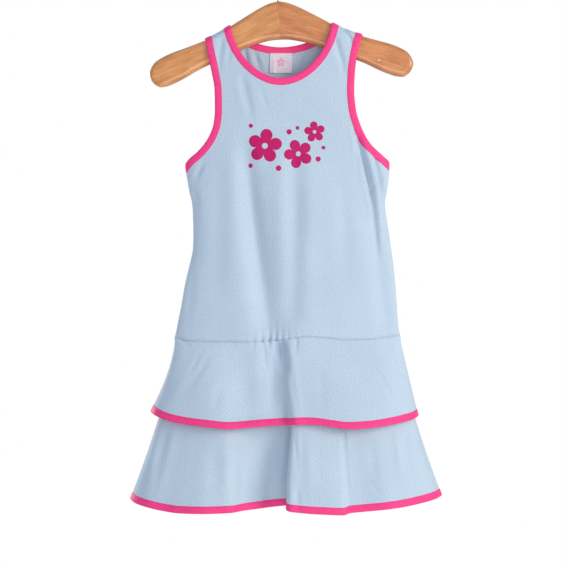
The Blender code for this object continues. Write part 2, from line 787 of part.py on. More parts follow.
def hanger_hook(material, frame):
    """The wire hook: a stem in the bore, a short bend, then most of a circle round the rod."""
    wire = HOOK_WIRE / 2
    bow = HOOK_INNER_RADIUS + wire
    reach = bow + HOOK_NECK_RADIUS
    bow_height = -HOOK_INNER_RADIUS
    neck_height = bow_height - math.sqrt(reach**2 - HOOK_NECK_RADIUS**2)
    meet = math.atan2(bow_height - neck_height, -HOOK_NECK_RADIUS)
    path = [(0.0, APEX - BORE_DEPTH + 1.0)]
    for k in range(7):
        angle = mix(math.pi, meet, k / 6)
        path.append((HOOK_NECK_RADIUS * (1 + math.cos(angle)), neck_height + HOOK_NECK_RADIUS * math.sin(angle)))
    turns = 22
    for k in range(1, turns + 1):
        angle = mix(meet - math.pi, HOOK_TIP_ANGLE, k / turns)
        path.append((bow * math.cos(angle), bow_height + bow * math.sin(angle)))
    curve = bpy.data.curves.new("hanger_hook", "CURVE")
    curve.dimensions = "3D"
    curve.bevel_depth = wire * MM
    curve.bevel_resolution = 2
    curve.use_fill_caps = True
    spline = curve.splines.new("POLY")
    spline.points.add(len(path) - 1)
    for point, (x, z) in zip(spline.points, path):
        point.co = (x * MM, 0.0, z * MM, 1.0)
    spline.use_smooth = True
    curve.materials.append(material)
    hook = bpy.data.objects.new("hanger_hook", curve)
    hook.parent = frame
    bpy.context.scene.collection.objects.link(hook)
    return hook


def clear_scene():
    """Removes whatever the new file holds."""
    for thing in list(bpy.data.objects):
        bpy.data.objects.remove(thing, do_unlink=True)


def main():
    """Builds the dress and its hanger."""
    clear_scene()
    jersey = finish("heather_blue_jersey", (0.50, 0.62, 0.80), 0.9)
    binding = finish("pink_rib_binding", (1.0, 0.08, 0.29), 0.8)
    satin = finish("white_satin", (0.88, 0.80, 0.80), 0.45)
    wood = finish("varnished_wood", (0.66, 0.35, 0.14), 0.35)
    wire = finish("bright_steel_wire", (0.62, 0.60, 0.56), 0.3)

    frame = bpy.data.objects.new("hanger_turn", None)
    frame.rotation_euler = (0.0, -HANGER_TURN, 0.0)
    bpy.context.scene.collection.objects.link(frame)
    bore = hook_bore(frame)
    for side in SIDE_SIGN:
        hanger_arm(side, wood, frame, bore)
    hanger_hook(wire, frame)

    for face in FACE_SIGN:
        bodice_panel(face, face + "_bodice", jersey)
    neck_binding(binding)
    for side in SIDE_SIGN:
        armhole_binding(side, binding)
    neck_label(satin)

    upper = Tier("front", UPPER_FRONT, 0.0, UPPER_FLARE), Tier("back", UPPER_BACK, 0.0, UPPER_FLARE)
    lower = Tier("front", LOWER_FRONT, LAYER_STEP, LOWER_FLARE), Tier("back", LOWER_BACK, LAYER_STEP, LOWER_FLARE)
    tier_panel("upper_tier_front", upper[0], 38, 6, jersey)
    tier_panel("upper_tier_back", upper[1], 28, 6, jersey)
    hem_binding("upper_tier_binding", *upper, (38, 28), binding)
    tier_panel("lower_tier_front", lower[0], 50, 9, jersey)
    tier_panel("lower_tier_back", lower[1], 32, 8, jersey)
    hem_binding("lower_tier_binding", *lower, (50, 32), binding)
    bpy.context.view_layer.update()


main()
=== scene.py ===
# %% [markdown]
# A girl's sleeveless tennis dress on a wooden hanger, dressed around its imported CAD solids.
#
# The real dress is cut from heather-blue cotton jersey: a front and a back panel, and two flared tiers that are
# sewn into one drop-waist seam. Every raw edge is folded into a pink binding and stitched. The solids say where
# each piece is. This script makes each piece again on the same form, with a finer mesh, creases, seams, stitches
# and finishes, and hides the solid that it stands for.

import math

import bpy
import numpy as np
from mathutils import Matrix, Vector


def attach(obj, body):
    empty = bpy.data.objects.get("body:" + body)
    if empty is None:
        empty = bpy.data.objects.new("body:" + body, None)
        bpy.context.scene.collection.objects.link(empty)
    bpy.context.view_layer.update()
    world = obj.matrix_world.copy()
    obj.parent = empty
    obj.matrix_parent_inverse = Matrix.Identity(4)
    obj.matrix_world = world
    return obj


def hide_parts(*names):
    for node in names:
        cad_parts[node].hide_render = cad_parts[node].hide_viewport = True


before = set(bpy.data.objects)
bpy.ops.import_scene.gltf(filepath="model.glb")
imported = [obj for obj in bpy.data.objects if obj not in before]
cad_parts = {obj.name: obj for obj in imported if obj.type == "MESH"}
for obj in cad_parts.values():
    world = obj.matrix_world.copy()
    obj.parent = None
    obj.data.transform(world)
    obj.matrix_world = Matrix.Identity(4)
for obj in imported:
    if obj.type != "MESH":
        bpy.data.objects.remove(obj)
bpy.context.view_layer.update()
MM = 0.001
print("CAD nodes:", len(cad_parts))

# %% [markdown]
# The camera comes first. The photograph was taken level and straight on, from far enough away that the sides hardly
# narrow. The real distance isn't known, so two metres is taken, and the lens follows from the width of the wall
# that the picture shows at that distance.

# %% Camera
CAMERA_DISTANCE = 2.0
PICTURE_WIDTH = 0.6515
PICTURE_MIDDLE = (0.009176, -0.386028)
SENSOR = 36.0

camera = bpy.data.objects.new("camera", bpy.data.cameras.new("camera"))
camera.data.sensor_width = SENSOR
camera.data.lens = SENSOR * CAMERA_DISTANCE / PICTURE_WIDTH
camera.location = (PICTURE_MIDDLE[0], -CAMERA_DISTANCE, PICTURE_MIDDLE[1])
camera.rotation_euler = (math.pi / 2, 0.0, 0.0)
bpy.context.scene.collection.objects.link(camera)
bpy.context.scene.camera = camera
bpy.context.scene.view_settings.view_transform = "Standard"
print("lens", round(camera.data.lens, 1), "mm")

# %% [markdown]
# The forms are drawn from short tables: a few heights with a width or a depth at each. A curve through such a
# table has to be smooth, but it may not bulge past the table's own values, or a seam would wander. A monotone
# cubic does both. All the helpers work on whole arrays of points at once, which keeps fine meshes quick. Lengths
# are in millimetres until a mesh is made.

# %% Curves through tables


def column(table, index):
    """One column of a table as an array."""
    return np.array([row[index] for row in table], float)


def mix(a, b, t):
    """The value a share t of the way from a to b."""
    return a + (b - a) * t


def ease(t):
    """A share from 0 to 1 that starts and ends gently."""
    t = np.clip(t, 0.0, 1.0)
    return t * t * (3 - 2 * t)


def curve_through(places, values):
    """A function that reads a smooth curve through a table's points, without overshoot."""
    if places[0] > places[-1]:
        places, values = places[::-1], values[::-1]
    span = np.diff(places)
    rise = np.diff(values) / span
    slope = np.zeros(len(places))
    slope[0], slope[-1] = rise[0], rise[-1]
    for k in range(1, len(places) - 1):
        if rise[k - 1] * rise[k] > 0.0:
            before, after = 2.0 * span[k] + span[k - 1], span[k] + 2.0 * span[k - 1]
            slope[k] = (before + after) / (before / rise[k - 1] + after / rise[k])

    def read(at):
        at = np.clip(at, places[0], places[-1])
        k = np.clip(np.searchsorted(places, at) - 1, 0, len(span) - 1)
        t = (at - places[k]) / span[k]
        level = values[k] * (1 + 2 * t) * (1 - t) ** 2 + values[k + 1] * t * t * (3 - 2 * t)
        return level + span[k] * (slope[k] * t * (1 - t) ** 2 - slope[k + 1] * t * t * (1 - t))

    return read


def curve_of(table, index):
    """A function that reads one of a table's columns by its first."""
    return curve_through(column(table, 0), column(table, index))


def unit(vectors):
    """Vectors brought to length 1."""
    return vectors / np.linalg.norm(vectors, axis=-1, keepdims=True)


def normal_of(surface, a, b, step_a, step_b, sign):
    """Unit normals of surface(a, b), turned to the side that sign says."""
    across = surface(a + step_a, b) - surface(a - step_a, b)
    along = surface(a, b + step_b) - surface(a, b - step_b)
    return unit(np.cross(across, along)) * sign


# %% [markdown]
# The hanger carries everything, and the straps have to lie on it, so its outline is settled before the cloth.
# It hangs turned a little in its own plane, because the dress doesn't sit quite on its middle.

# %% The hanger's outline
HANGER_THICKNESS = 12.0
HANGER_TURN = math.radians(2.5)
APEX = -62.0
ARM_TIP = 151.4

# Distance from the middle, top edge, bottom edge
ARM_ROWS = (
    (0.0, APEX, -105.7),
    (9.0, -63.8, -106.2),
    (22.0, -69.2, -108.6),
    (36.0, -76.8, -112.5),
    (50.0, -84.8, -118.0),
    (66.0, -94.0, -124.5),
    (82.0, -101.6, -131.0),
    (98.0, -107.4, -138.2),
    (111.0, -111.6, -145.2),
    (123.0, -115.4, -150.7),
    (132.0, -118.9, -153.8),
    (139.0, -122.4, -154.6),
    (145.0, -126.6, -151.6),
    (149.3, -132.6, -146.6),
    (ARM_TIP, -138.0, -141.4),
)
arm_top, arm_bottom = curve_of(ARM_ROWS, 1), curve_of(ARM_ROWS, 2)


def turned(x, z):
    """Points of the hanger's own plane, turned as the hanger hangs."""
    cos, sin = math.cos(HANGER_TURN), math.sin(HANGER_TURN)
    return x * cos - z * sin, x * sin + z * cos


CREST_FROM = 0.5
CREST_TO = 140.0
CREST_POINTS = 40
crest_x = np.linspace(CREST_FROM, CREST_TO, CREST_POINTS)
crest_x = np.concatenate([-crest_x[::-1], crest_x])
crest_x, crest_z = turned(crest_x, arm_top(np.abs(crest_x)))
print("the wood's top edge spans", round(float(crest_x[-1] - crest_x[0])), "mm")

# %% [markdown]
# The bodice is one smooth flattened tube. Its section at each height is half an ellipse for the front and half
# for the back, and the straps roll over the hanger's arms. A point is found from its turn round the tube, from
# -1 at the left side seam to 1 at the right one, and its height along the cloth.

# %% The bodice's form
CLOTH = 1.2
STRAP_LIFT = 1.4
ROLL = 8.0
SIDE_SIGN = {"left": -1.0, "right": 1.0}
FACE_SIGN = {"front": -1.0, "back": 1.0}

# Height, left side, right side
SIDE_ROWS = (
    (-80.0, -125.0, 150.0),
    (-200.0, -110.0, 136.0),
    (-248.0, -104.0, 129.5),
    (-262.0, -102.3, 129.2),
    (-280.0, -99.2, 126.7),
    (-294.0, -96.0, 124.6),
    (-310.0, -95.0, 126.3),
    (-328.0, -94.6, 129.0),
    (-345.0, -95.0, 131.4),
    (-362.0, -98.5, 133.8),
    (-384.0, -103.8, 136.0),
    (-410.0, -108.3, 138.1),
    (-432.0, -112.7, 139.8),
    (-447.0, -115.5, 141.7),
)
# Height, how far the front and the back stand from the middle plane
DEPTH_ROWS = (
    (-80.0, 12.0, 12.0),
    (-135.0, 12.5, 12.5),
    (-180.0, 14.5, 14.0),
    (-250.0, 18.0, 17.0),
    (-345.0, 19.0, 18.0),
    (-447.0, 20.0, 19.0),
)
# The drop-waist seam: place across, height
WAIST_ROWS = (
    (-115.5, -447.0),
    (-107.0, -450.0),
    (-98.0, -451.8),
    (-40.0, -452.3),
    (-10.0, -451.0),
    (11.0, -449.0),
    (34.0, -446.3),
    (56.0, -447.6),
    (80.0, -450.0),
    (104.0, -449.8),
    (123.0, -447.5),
    (141.7, -445.5),
)
side_x = {"left": curve_of(SIDE_ROWS, 1), "right": curve_of(SIDE_ROWS, 2)}
depth_of = {"front": curve_of(DEPTH_ROWS, 1), "back": curve_of(DEPTH_ROWS, 2)}
waist = curve_of(WAIST_ROWS, 1)


def shoulder_top(x):
    """Height of the strap's middle surface where it crosses the arm."""
    return np.interp(x, crest_x, crest_z) + STRAP_LIFT


def section(height):
    """Middle and half width of the bodice at a height."""
    left, right = side_x["left"](height), side_x["right"](height)
    return (left + right) / 2, (right - left) / 2


def bodice_form(face, turn, height):
    """Points of the bodice's smooth middle surface, before any crease."""
    middle, half = section(height)
    x = middle + half * np.sin(turn * math.pi / 2)
    start = shoulder_top(x) - ROLL
    angle = np.clip((height - start) / ROLL, 0.0, math.pi / 2)
    y = depth_of[face](np.minimum(height, start)) * np.cos(turn * math.pi / 2) * np.cos(angle)
    z = np.minimum(height, start) + ROLL * np.sin(angle)
    return np.stack(np.broadcast_arrays(x, FACE_SIGN[face] * y, z), axis=-1)


def turn_at(x, height):
    """The turn at which the bodice reaches x."""
    middle, half = section(height)
    return np.arcsin(np.clip((x - middle) / half, -1.0, 1.0)) * 2 / math.pi


def height_on_roll(x, share):
    """Height along the cloth for a share of the roll, 0 on the shoulder seam and 1 where it hangs."""
    return shoulder_top(x) - ROLL + ROLL * (1.0 - share) * math.pi / 2


print("bodice width at the waist", round(float(2 * section(SIDE_ROWS[-1][0])[1])), "mm")

# %% [markdown]
# Jersey hangs in soft troughs and ridges, and no two are alike. They could come from a cloth simulation, but then
# they wouldn't fall where the real ones do, so each is placed one by one: a short path across the cloth with how
# far it moves the cloth at each point, outward in millimetres, and its half width. The depth starts and ends at
# nothing, and a trough has a faint swelling along both sides, as pushed cloth has. The back isn't in the
# photograph, so its creases are of the same kind, in other places.

# %% Creases, placed one by one
# Half width, then the path: place across, height, move outward
BODICE_CREASES = {
    "front": (
        # the long troughs that lead to the folded waist
        (9.0, ((-37.0, -205.0, 0.0), (-33.0, -262.0, -3.8), (-29.0, -300.0, -5.2), (-24.5, -340.0, -5.0),
               (-19.0, -381.0, -3.8), (-14.0, -416.0, -2.6), (-8.0, -449.0, -1.6))),
        (18.0, ((-28.0, -225.0, 0.0), (-25.0, -270.0, -3.8), (-21.0, -310.0, -6.0), (-16.0, -350.0, -7.0),
                (-9.0, -400.0, -7.4), (-2.0, -449.0, -4.6))),
        (10.0, ((20.0, -225.0, 0.0), (21.0, -262.0, -2.8), (21.5, -302.0, -4.0), (20.5, -350.0, -3.6),
                (20.0, -405.0, -3.0), (20.0, -445.0, 0.0))),
        (10.0, ((-63.0, -215.0, 0.0), (-64.0, -280.0, -0.9), (-65.0, -340.0, -1.2), (-68.0, -425.0, 0.0))),
        (8.0, ((72.0, -240.0, 0.0), (77.0, -320.0, -1.2), (82.0, -420.0, 0.0))),
        # under the neck, left of the middle
        (4.6, ((-41.0, -142.0, 0.0), (-36.0, -162.0, -1.6), (-31.0, -182.0, -1.4), (-27.0, -206.0, 0.0))),
        (2.6, ((-20.0, -160.0, 0.0), (-14.0, -174.0, -0.6), (-8.0, -190.0, 0.0))),
        # on the straps
        (2.2, ((74.0, -89.0, 0.0), (79.0, -96.0, -2.2), (85.0, -106.0, -1.8), (89.0, -118.0, 0.0))),
        (3.4, ((65.0, -98.0, 0.0), (69.0, -112.0, -2.5), (74.0, -128.0, -1.9), (80.0, -154.0, 0.0))),
        (3.6, ((-60.0, -98.0, 0.0), (-63.0, -116.0, -1.4), (-65.0, -134.0, -0.9), (-66.0, -152.0, 0.0))),
        (2.4, ((-52.0, -112.0, 0.0), (-54.0, -126.0, -0.8), (-57.0, -142.0, 0.0))),
        # from the right underarm down the side
        (2.2, ((87.5, -204.0, 0.0), (89.5, -216.0, -1.3), (92.0, -238.0, -1.2), (93.0, -262.0, 0.0))),
        (3.0, ((91.0, -212.0, 0.0), (95.0, -224.0, -4.8), (99.5, -241.0, -6.6), (104.5, -262.0, -7.0),
               (109.0, -280.0, -6.6), (112.5, -299.0, -5.8), (115.0, -330.0, -3.4), (117.5, -365.0, 0.0))),
        (3.0, ((103.0, -232.0, 0.0), (108.0, -247.0, 1.2), (113.0, -268.0, 1.2), (117.0, -288.0, 0.0))),
        (9.0, ((106.0, -290.0, 0.0), (113.0, -335.0, -2.4), (120.0, -385.0, -3.0), (127.0, -440.0, -1.6))),
        (2.3, ((110.5, -239.0, 0.0), (114.2, -249.0, -3.2), (117.8, -264.0, -3.8), (121.0, -280.0, -2.6),
               (124.0, -296.0, 0.0))),
        # at the left underarm
        (3.2, ((-80.0, -240.0, 0.0), (-87.0, -256.0, -1.1), (-95.0, -275.0, 0.0))),
        (4.0, ((-98.0, -262.0, 0.0), (-92.0, -285.0, -0.9), (-89.0, -315.0, 0.0))),
        (6.0, ((-96.0, -350.0, 0.0), (-98.0, -400.0, -0.9), (-104.0, -440.0, 0.0))),
    ),
    "back": (
        (7.0, ((-36.0, -240.0, 0.0), (-34.0, -300.0, -1.6), (-28.0, -370.0, -1.9), (-22.0, -449.0, -1.1))),
        (6.0, ((30.0, -215.0, 0.0), (33.0, -280.0, -1.2), (37.0, -350.0, -1.7), (36.0, -449.0, -0.9))),
        (8.0, ((76.0, -270.0, 0.0), (80.0, -350.0, -1.3), (86.0, -430.0, 0.0))),
        (5.0, ((-78.0, -260.0, 0.0), (-76.0, -320.0, -0.9), (-80.0, -400.0, 0.0))),
        (9.0, ((4.0, -290.0, 0.0), (3.0, -360.0, 1.1), (6.0, -440.0, 0.0))),
        # beside the label, where the neck's binding draws the cloth up
        (2.6, ((-38.0, -110.0, 0.0), (-34.5, -124.0, 2.2), (-29.0, -144.0, 0.0))),
        (2.8, ((-28.0, -112.0, 0.0), (-22.0, -128.0, 2.0), (-15.0, -144.0, 0.0))),
        (3.2, ((37.0, -112.0, 0.0), (32.0, -130.0, 1.6), (28.0, -150.0, 0.0))),
        # from the underarms
        (3.4, ((-80.0, -232.0, 0.0), (-74.0, -262.0, -1.4), (-60.0, -300.0, 0.0))),
        (2.4, ((-92.0, -246.0, 0.0), (-88.0, -270.0, -1.1), (-84.0, -300.0, 0.0))),
        (3.6, ((104.0, -226.0, 0.0), (101.0, -262.0, -1.5), (90.0, -312.0, 0.0))),
        (2.4, ((118.0, -246.0, 0.0), (115.0, -272.0, -1.1), (112.0, -296.0, 0.0))),
        # on the straps
        (2.4, ((76.0, -94.0, 0.0), (80.0, -112.0, -0.8), (78.0, -134.0, 0.0))),
        (2.6, ((-66.0, -104.0, 0.0), (-62.0, -124.0, -0.8), (-60.0, -146.0, 0.0))),
    ),
}


def path_pieces(path, x, z):
    """For each straight piece of a path: its ends, and how far along it and away from it points x, z are."""
    for start, end in zip(path[:-1], path[1:]):
        run_x, run_z = end[0] - start[0], end[1] - start[1]
        t = np.clip(((x - start[0]) * run_x + (z - start[1]) * run_z) / (run_x**2 + run_z**2), 0.0, 1.0)
        yield start, end, t, np.hypot(x - start[0] - t * run_x, z - start[1] - t * run_z)


def crease_move(creases, x, z):
    """How far a table of creases moves the cloth outward at points x, z."""
    total = np.zeros(np.shape(x))
    for half_width, path in creases:
        nearest = np.full(np.shape(x), np.inf)
        move = np.zeros(np.shape(x))
        for start, end, t, away in path_pieces(path, x, z):
            nearer = away < nearest
            nearest = np.where(nearer, away, nearest)
            move = np.where(nearer, mix(start[2], end[2], ease(t)), move)
        u = (nearest / half_width) ** 2
        total += move * (1.0 - u / 2) * np.exp(-u / 2)
    return total


print("creases on the bodice:", {face: len(rows) for face, rows in BODICE_CREASES.items()})

# %% [markdown]
# A sewn seam pulls the cloth in. At the side, shoulder and waist seams the surface dips into a narrow valley, and
# beside the waist seam the cloth gathers in small puckers, which are strongest where the skirt is folded. Where
# the waist seam runs into a side seam four layers meet, and that makes a small hard lump.

# %% Seams and the creased bodice
SEAM_DIP = 0.45
SEAM_WIDTH = 1.3
WAIST_DIP = 0.42
WAIST_WIDTH = 0.8
PUCKER_SPACING = 8.2
PUCKER_REACH = 5.5
PUCKER_EVERYWHERE = 0.10
PUCKER_FOLDED = 2.2
PUCKER_WANDER = 1.9
WANDER_LENGTH = 13.0
SWELL_LENGTH = 23.0
FOLDED_AT = -8.0
FOLDED_WIDTH = 16.0
LUMP_HEIGHT = 1.0
LUMP_WIDTH = 3.2
BODICE_STEPS = (0.002, 0.3)


def pucker(face, x, from_waist):
    """The waist seam's small gathers, which fade away from it."""
    wander = PUCKER_WANDER * np.sin(x / WANDER_LENGTH + FACE_SIGN[face])
    strength = PUCKER_EVERYWHERE * (1.0 + np.sin(x / SWELL_LENGTH + 1.0))
    strength = strength + PUCKER_FOLDED * np.exp(-(((x - FOLDED_AT) / FOLDED_WIDTH) ** 2))
    return strength * np.sin(2 * math.pi * x / PUCKER_SPACING + wander) * np.exp(-from_waist / PUCKER_REACH)


def seam_move(face, place, from_waist):
    """How far the seams move the cloth outward, from its place and its distance from the waist seam."""
    side_dip = -SEAM_DIP * np.exp(-((place[..., 1] / SEAM_WIDTH) ** 2))
    waist_dip = -WAIST_DIP * np.exp(-((from_waist / WAIST_WIDTH) ** 2))
    lump = LUMP_HEIGHT * np.exp(-(place[..., 1] ** 2 + from_waist**2) / LUMP_WIDTH**2)
    return side_dip + waist_dip + lump + pucker(face, place[..., 0], from_waist)


def bodice_normal(surface, face, turn, height):
    """Outward unit normals of one of the bodice's surfaces."""
    return normal_of(lambda a, b: surface(face, a, b), turn, height, *BODICE_STEPS, -FACE_SIGN[face])


def bodice(face, turn, height, seams=True):
    """Points of the creased bodice, with its seams or without."""
    turn, height = np.broadcast_arrays(turn, height)
    place = bodice_form(face, turn, height)
    move = crease_move(BODICE_CREASES[face], place[..., 0], height)
    if seams:
        move = move + seam_move(face, place, np.abs(height - waist(place[..., 0])))
    return place + bodice_normal(bodice_form, face, turn, height) * move[..., None]


def bodice_place(face, turn, height):
    """Points of the creased bodice and their outward normals."""
    return bodice(face, turn, height), bodice_normal(bodice, face, turn, height)


# %% [markdown]
# The neck's edge is half of an egg curve, higher at the back than at the front, and each armhole's edge is read
# from a table of heights. The binding's two edges and the panel's cut edge are the same curve, moved into the
# cloth by different distances, so that they run parallel as cut and folded strips do.

# %% Armhole and neck edges
# Height, left armhole, right armhole
ARMHOLE_ROWS = (
    (-90.0, -84.0, 100.5),
    (-102.0, -82.0, 98.6),
    (-119.0, -78.8, 94.0),
    (-142.0, -74.0, 90.4),
    (-165.0, -70.2, 89.3),
    (-188.0, -69.8, 91.4),
    (-203.0, -71.2, 95.8),
    (-215.0, -75.2, 101.0),
    (-226.0, -81.8, 108.0),
    (-236.0, -91.0, 118.4),
    (-243.0, -99.6, 126.6),
    (-248.0, -104.0, 132.4),
)
UNDERARM = {"left": -248.0, "right": -245.5}
NECK_MIDDLE = 5.6
NECK_HALF_WIDTH = 58.6
NECK_TOP = -79.0
NECK_DROP = {"front": 72.2, "back": 33.8}
NECK_POWER = 1.87
NECK_CORNER = math.radians(38.0)

# Rows of the panels, from the shoulder seam down
ROLL_ROWS = 4
CORNER_ROW = 8
UNDERARM_ROW = 18
WAIST_ROW = 25
UNDERARM_CROWDING = 1.3

# How finely the edges are worked out
EDGE_POINTS = 70
UNDERARM_STEP = 0.05
TOP_ROUNDS = 8
STRETCH_ROUNDS = 4
HALVINGS = 40
LOWEST_ANGLE = 0.3


class ArmholeEdge:
    """A curve beside the armhole's open edge, at a distance into the cloth."""

    def __init__(self, side, distance):
        index = {"left": 1, "right": 2}[side]
        heights = np.linspace(ARMHOLE_ROWS[0][0], UNDERARM[side], EDGE_POINTS)
        edge = curve_of(ARMHOLE_ROWS, index)(heights)
        run = unit(np.stack([np.gradient(edge), np.gradient(heights)], axis=1))
        into_cloth = np.stack([-run[:, 1], run[:, 0]], axis=1) * -SIDE_SIGN[side]
        curve = np.stack([edge, heights], axis=1) + into_cloth * distance
        # It runs on past the side seam, by twice the distance and at least a millimetre
        self.curve = np.vstack([curve, curve[-1] + run[-1] * max(2 * distance, 1.0)])
        self.end = UNDERARM[side]
        while distance and SIDE_SIGN[side] * (self.x(self.end) - side_x[side](self.end)) < 0.0:
            self.end -= UNDERARM_STEP
        self.top = ARMHOLE_ROWS[1][0]
        for _ in range(TOP_ROUNDS):
            self.top = height_on_roll(self.x(self.top), 0.0)

    def x(self, height):
        """The curve's place across at a height."""
        return np.interp(height, self.curve[::-1, 1], self.curve[::-1, 0])

    def at(self, row):
        """Place across and height at rows: the roll's rows first, then steps that shorten to the underarm."""
        share = np.clip(row / ROLL_ROWS, 0.0, 1.0)
        x = self.x(mix(self.top, self.top - ROLL * math.pi / 2, share))
        height = height_on_roll(x, share)
        low = np.clip((row - ROLL_ROWS) / (UNDERARM_ROW - ROLL_ROWS), 0.0, 1.0)
        hanging = mix(height, self.end, 1.0 - (1.0 - low) ** UNDERARM_CROWDING)
        return np.where(row > ROLL_ROWS, self.x(hanging), x), np.where(row > ROLL_ROWS, hanging, height)


class NeckEdge:
    """A curve beside the neck's open edge, at a distance into the cloth."""

    def __init__(self, face, distance):
        self.half = NECK_HALF_WIDTH + distance
        self.drop = NECK_DROP[face] + distance
        self.stretch = {"left": 1.0, "right": 1.0}
        if face == "back":
            front = NeckEdge("front", distance)
            for side in SIDE_SIGN:
                for _ in range(STRETCH_ROUNDS):
                    reach = front.strap(side, 0.0)[0] - NECK_MIDDLE
                    own = self.strap(side, 0.0)[0] - NECK_MIDDLE
                    self.stretch[side] *= float(reach / own)

    def at(self, angle):
        """Place across and height for angles from straight down. The back is stretched to meet the front."""
        stretch = np.where(angle < 0.0, self.stretch["left"], self.stretch["right"])
        across = np.sign(angle) * np.abs(np.sin(angle)) ** (2 / NECK_POWER) * self.half * stretch
        return NECK_MIDDLE + across, NECK_TOP - np.abs(np.cos(angle)) ** (2 / NECK_POWER) * self.drop

    def angle_on_roll(self, side, share):
        """The angle at which the curve has gone down a share of the roll."""
        low, high = np.full(np.shape(share), LOWEST_ANGLE), np.full(np.shape(share), math.pi / 2)
        for _ in range(HALVINGS):
            angle = (low + high) / 2
            x, height = self.at(SIDE_SIGN[side] * angle)
            below = height < height_on_roll(x, share)
            low, high = np.where(below, angle, low), np.where(below, high, angle)
        return low

    def strap(self, side, row):
        """Place across and height at rows of the strap, from the shoulder seam to the neck's turning point."""
        angle = self.angle_on_roll(side, np.clip(row / ROLL_ROWS, 0.0, 1.0))
        down = np.clip((row - ROLL_ROWS) / (CORNER_ROW - ROLL_ROWS), 0.0, 1.0)
        return self.at(SIDE_SIGN[side] * mix(angle, NECK_CORNER, down))


print("underarms", UNDERARM, "mm; neck from", NECK_TOP, "to", round(NECK_TOP - NECK_DROP["front"], 1), "mm")

# %% [markdown]
# A finish starts from what the real surface is. One helper turns the sRGB colours that a colour chart or a
# picture gives into the linear ones that Blender works in, and one adds a node with its settings and links. Most
# finishes have the same two steps, a pattern of soft grains in a few colours, and a colour and a relief that go
# to the shader, so each step is a helper too. Every pattern's scale comes from a real size in millimetres.

# %% Helpers for finishes


def linear(hex_colour):
    """An sRGB hex colour as linear RGBA."""
    parts = [int(hex_colour[k : k + 2], 16) / 255 for k in (1, 3, 5)]
    return (*[c / 12.92 if c <= 0.04045 else ((c + 0.055) / 1.055) ** 2.4 for c in parts], 1.0)


def new_material(name, **sockets):
    """A Principled material with its uniform values set on the shader's own sockets."""
    material = bpy.data.materials.new(name)
    material.use_nodes = True
    shader = material.node_tree.nodes["Principled BSDF"]
    for socket, value in sockets.items():
        shader.inputs[socket.replace("_", " ")].default_value = value
    return material


def add_node(material, kind, settings=None, values=None, links=None):
    """Adds a node; links maps its input sockets to (node, output) pairs."""
    node = material.node_tree.nodes.new(kind)
    for key, value in (settings or {}).items():
        setattr(node, key, value)
    for socket, value in (values or {}).items():
        node.inputs[socket].default_value = value
    for socket, (source, output) in (links or {}).items():
        material.node_tree.links.new(source.outputs[output], node.inputs[socket])
    return node


def set_ramp(node, stops):
    """Gives a colour ramp its stops: place and sRGB hex colour."""
    ramp = node.color_ramp
    while len(ramp.elements) < len(stops):
        ramp.elements.new(0.5)
    for element, (place, colour) in zip(ramp.elements, stops):
        element.position = place
        element.color = linear(colour)


def add_pattern(material, source, grain_mm, stops, start=(0.0, 0.0, 0.0), **noise_values):
    """Soft grains of a size in millimetres, and their colours. Gives the noise node and the colour ramp."""
    scale = [1000 / size for size in grain_mm]
    at = add_node(
        material, "ShaderNodeMapping", values={"Location": start, "Scale": scale}, links={"Vector": source}
    )
    noise = add_node(
        material, "ShaderNodeTexNoise", values={"Scale": 1.0, **noise_values}, links={"Vector": (at, "Vector")}
    )
    ramp = add_node(material, "ShaderNodeValToRGB", links={"Fac": (noise, "Fac")})
    set_ramp(ramp, stops)
    return noise, ramp


def set_surface(material, colour, height=None, strength=0.0, depth=0.0):
    """Links a colour to the shader, and a relief if there is one, its depth in metres."""
    found = {"Base Color": colour}
    if height:
        values = {"Strength": strength, "Distance": depth}
        found["Normal"] = (add_node(material, "ShaderNodeBump", values=values, links={"Height": height}), "Normal")
    shader = material.node_tree.nodes["Principled BSDF"]
    for socket, (source, output) in found.items():
        material.node_tree.links.new(source.outputs[output], shader.inputs[socket])


# %% [markdown]
# Cotton jersey is a fine plain knit: columns of loops, about one a millimetre, with a matt, slightly fuzzy face.
# This one is heather: the yarn is spun from white and blue fibres, so the colour is finely flecked. The columns
# are too fine to show from two metres, so they are drawn 4.4 mm apart. Sheen gives the pale fuzz at grazing
# angles.

# %% Finish: heather-blue jersey
FLECK_MM = (1.6, 1.2, 1.2)
FLECK_COLOURS = ((0.32, "#A6BED2"), (0.50, "#BDCCD9"), (0.68, "#D4DAE0"))
PATCH_MM = (60.0, 60.0, 60.0)
PATCH_COLOURS = ((0.35, "#FAFBFD"), (0.65, "#FFFFFF"))
COLUMN_SPACING_MM = 4.4
# A wave texture has ten bands in each pi of its coordinate, so at this scale they lie a millimetre apart
ONE_MM_BANDS = 1000 * math.pi / 10
MULTIPLY = {"data_type": "RGBA", "blend_type": "MULTIPLY"}

jersey = new_material(
    "heather_blue_cotton_jersey", Roughness=0.92, Sheen_Weight=0.22, Sheen_Roughness=0.45,
    Specular_IOR_Level=0.25,
)
knit = (add_node(jersey, "ShaderNodeTexCoord"), "UV")
flecks, fleck_colour = add_pattern(jersey, knit, FLECK_MM, FLECK_COLOURS, Detail=4.0, Roughness=0.7)
_, patch_colour = add_pattern(jersey, knit, PATCH_MM, PATCH_COLOURS, Detail=2.0)
colour = add_node(
    jersey, "ShaderNodeMix", settings=MULTIPLY, values={0: 1.0},
    links={6: (fleck_colour, "Color"), 7: (patch_colour, "Color")},
)
columns = add_node(
    jersey, "ShaderNodeTexWave", links={"Vector": knit},
    values={"Scale": ONE_MM_BANDS / COLUMN_SPACING_MM, "Distortion": 1.2, "Detail": 2.0},
)
relief = add_node(
    jersey, "ShaderNodeMath", settings={"operation": "MULTIPLY_ADD"}, values={1: 0.35},
    links={0: (columns, "Fac"), 2: (flecks, "Fac")},
)
set_surface(jersey, (colour, 2), (relief, "Value"), strength=0.2, depth=0.0004)

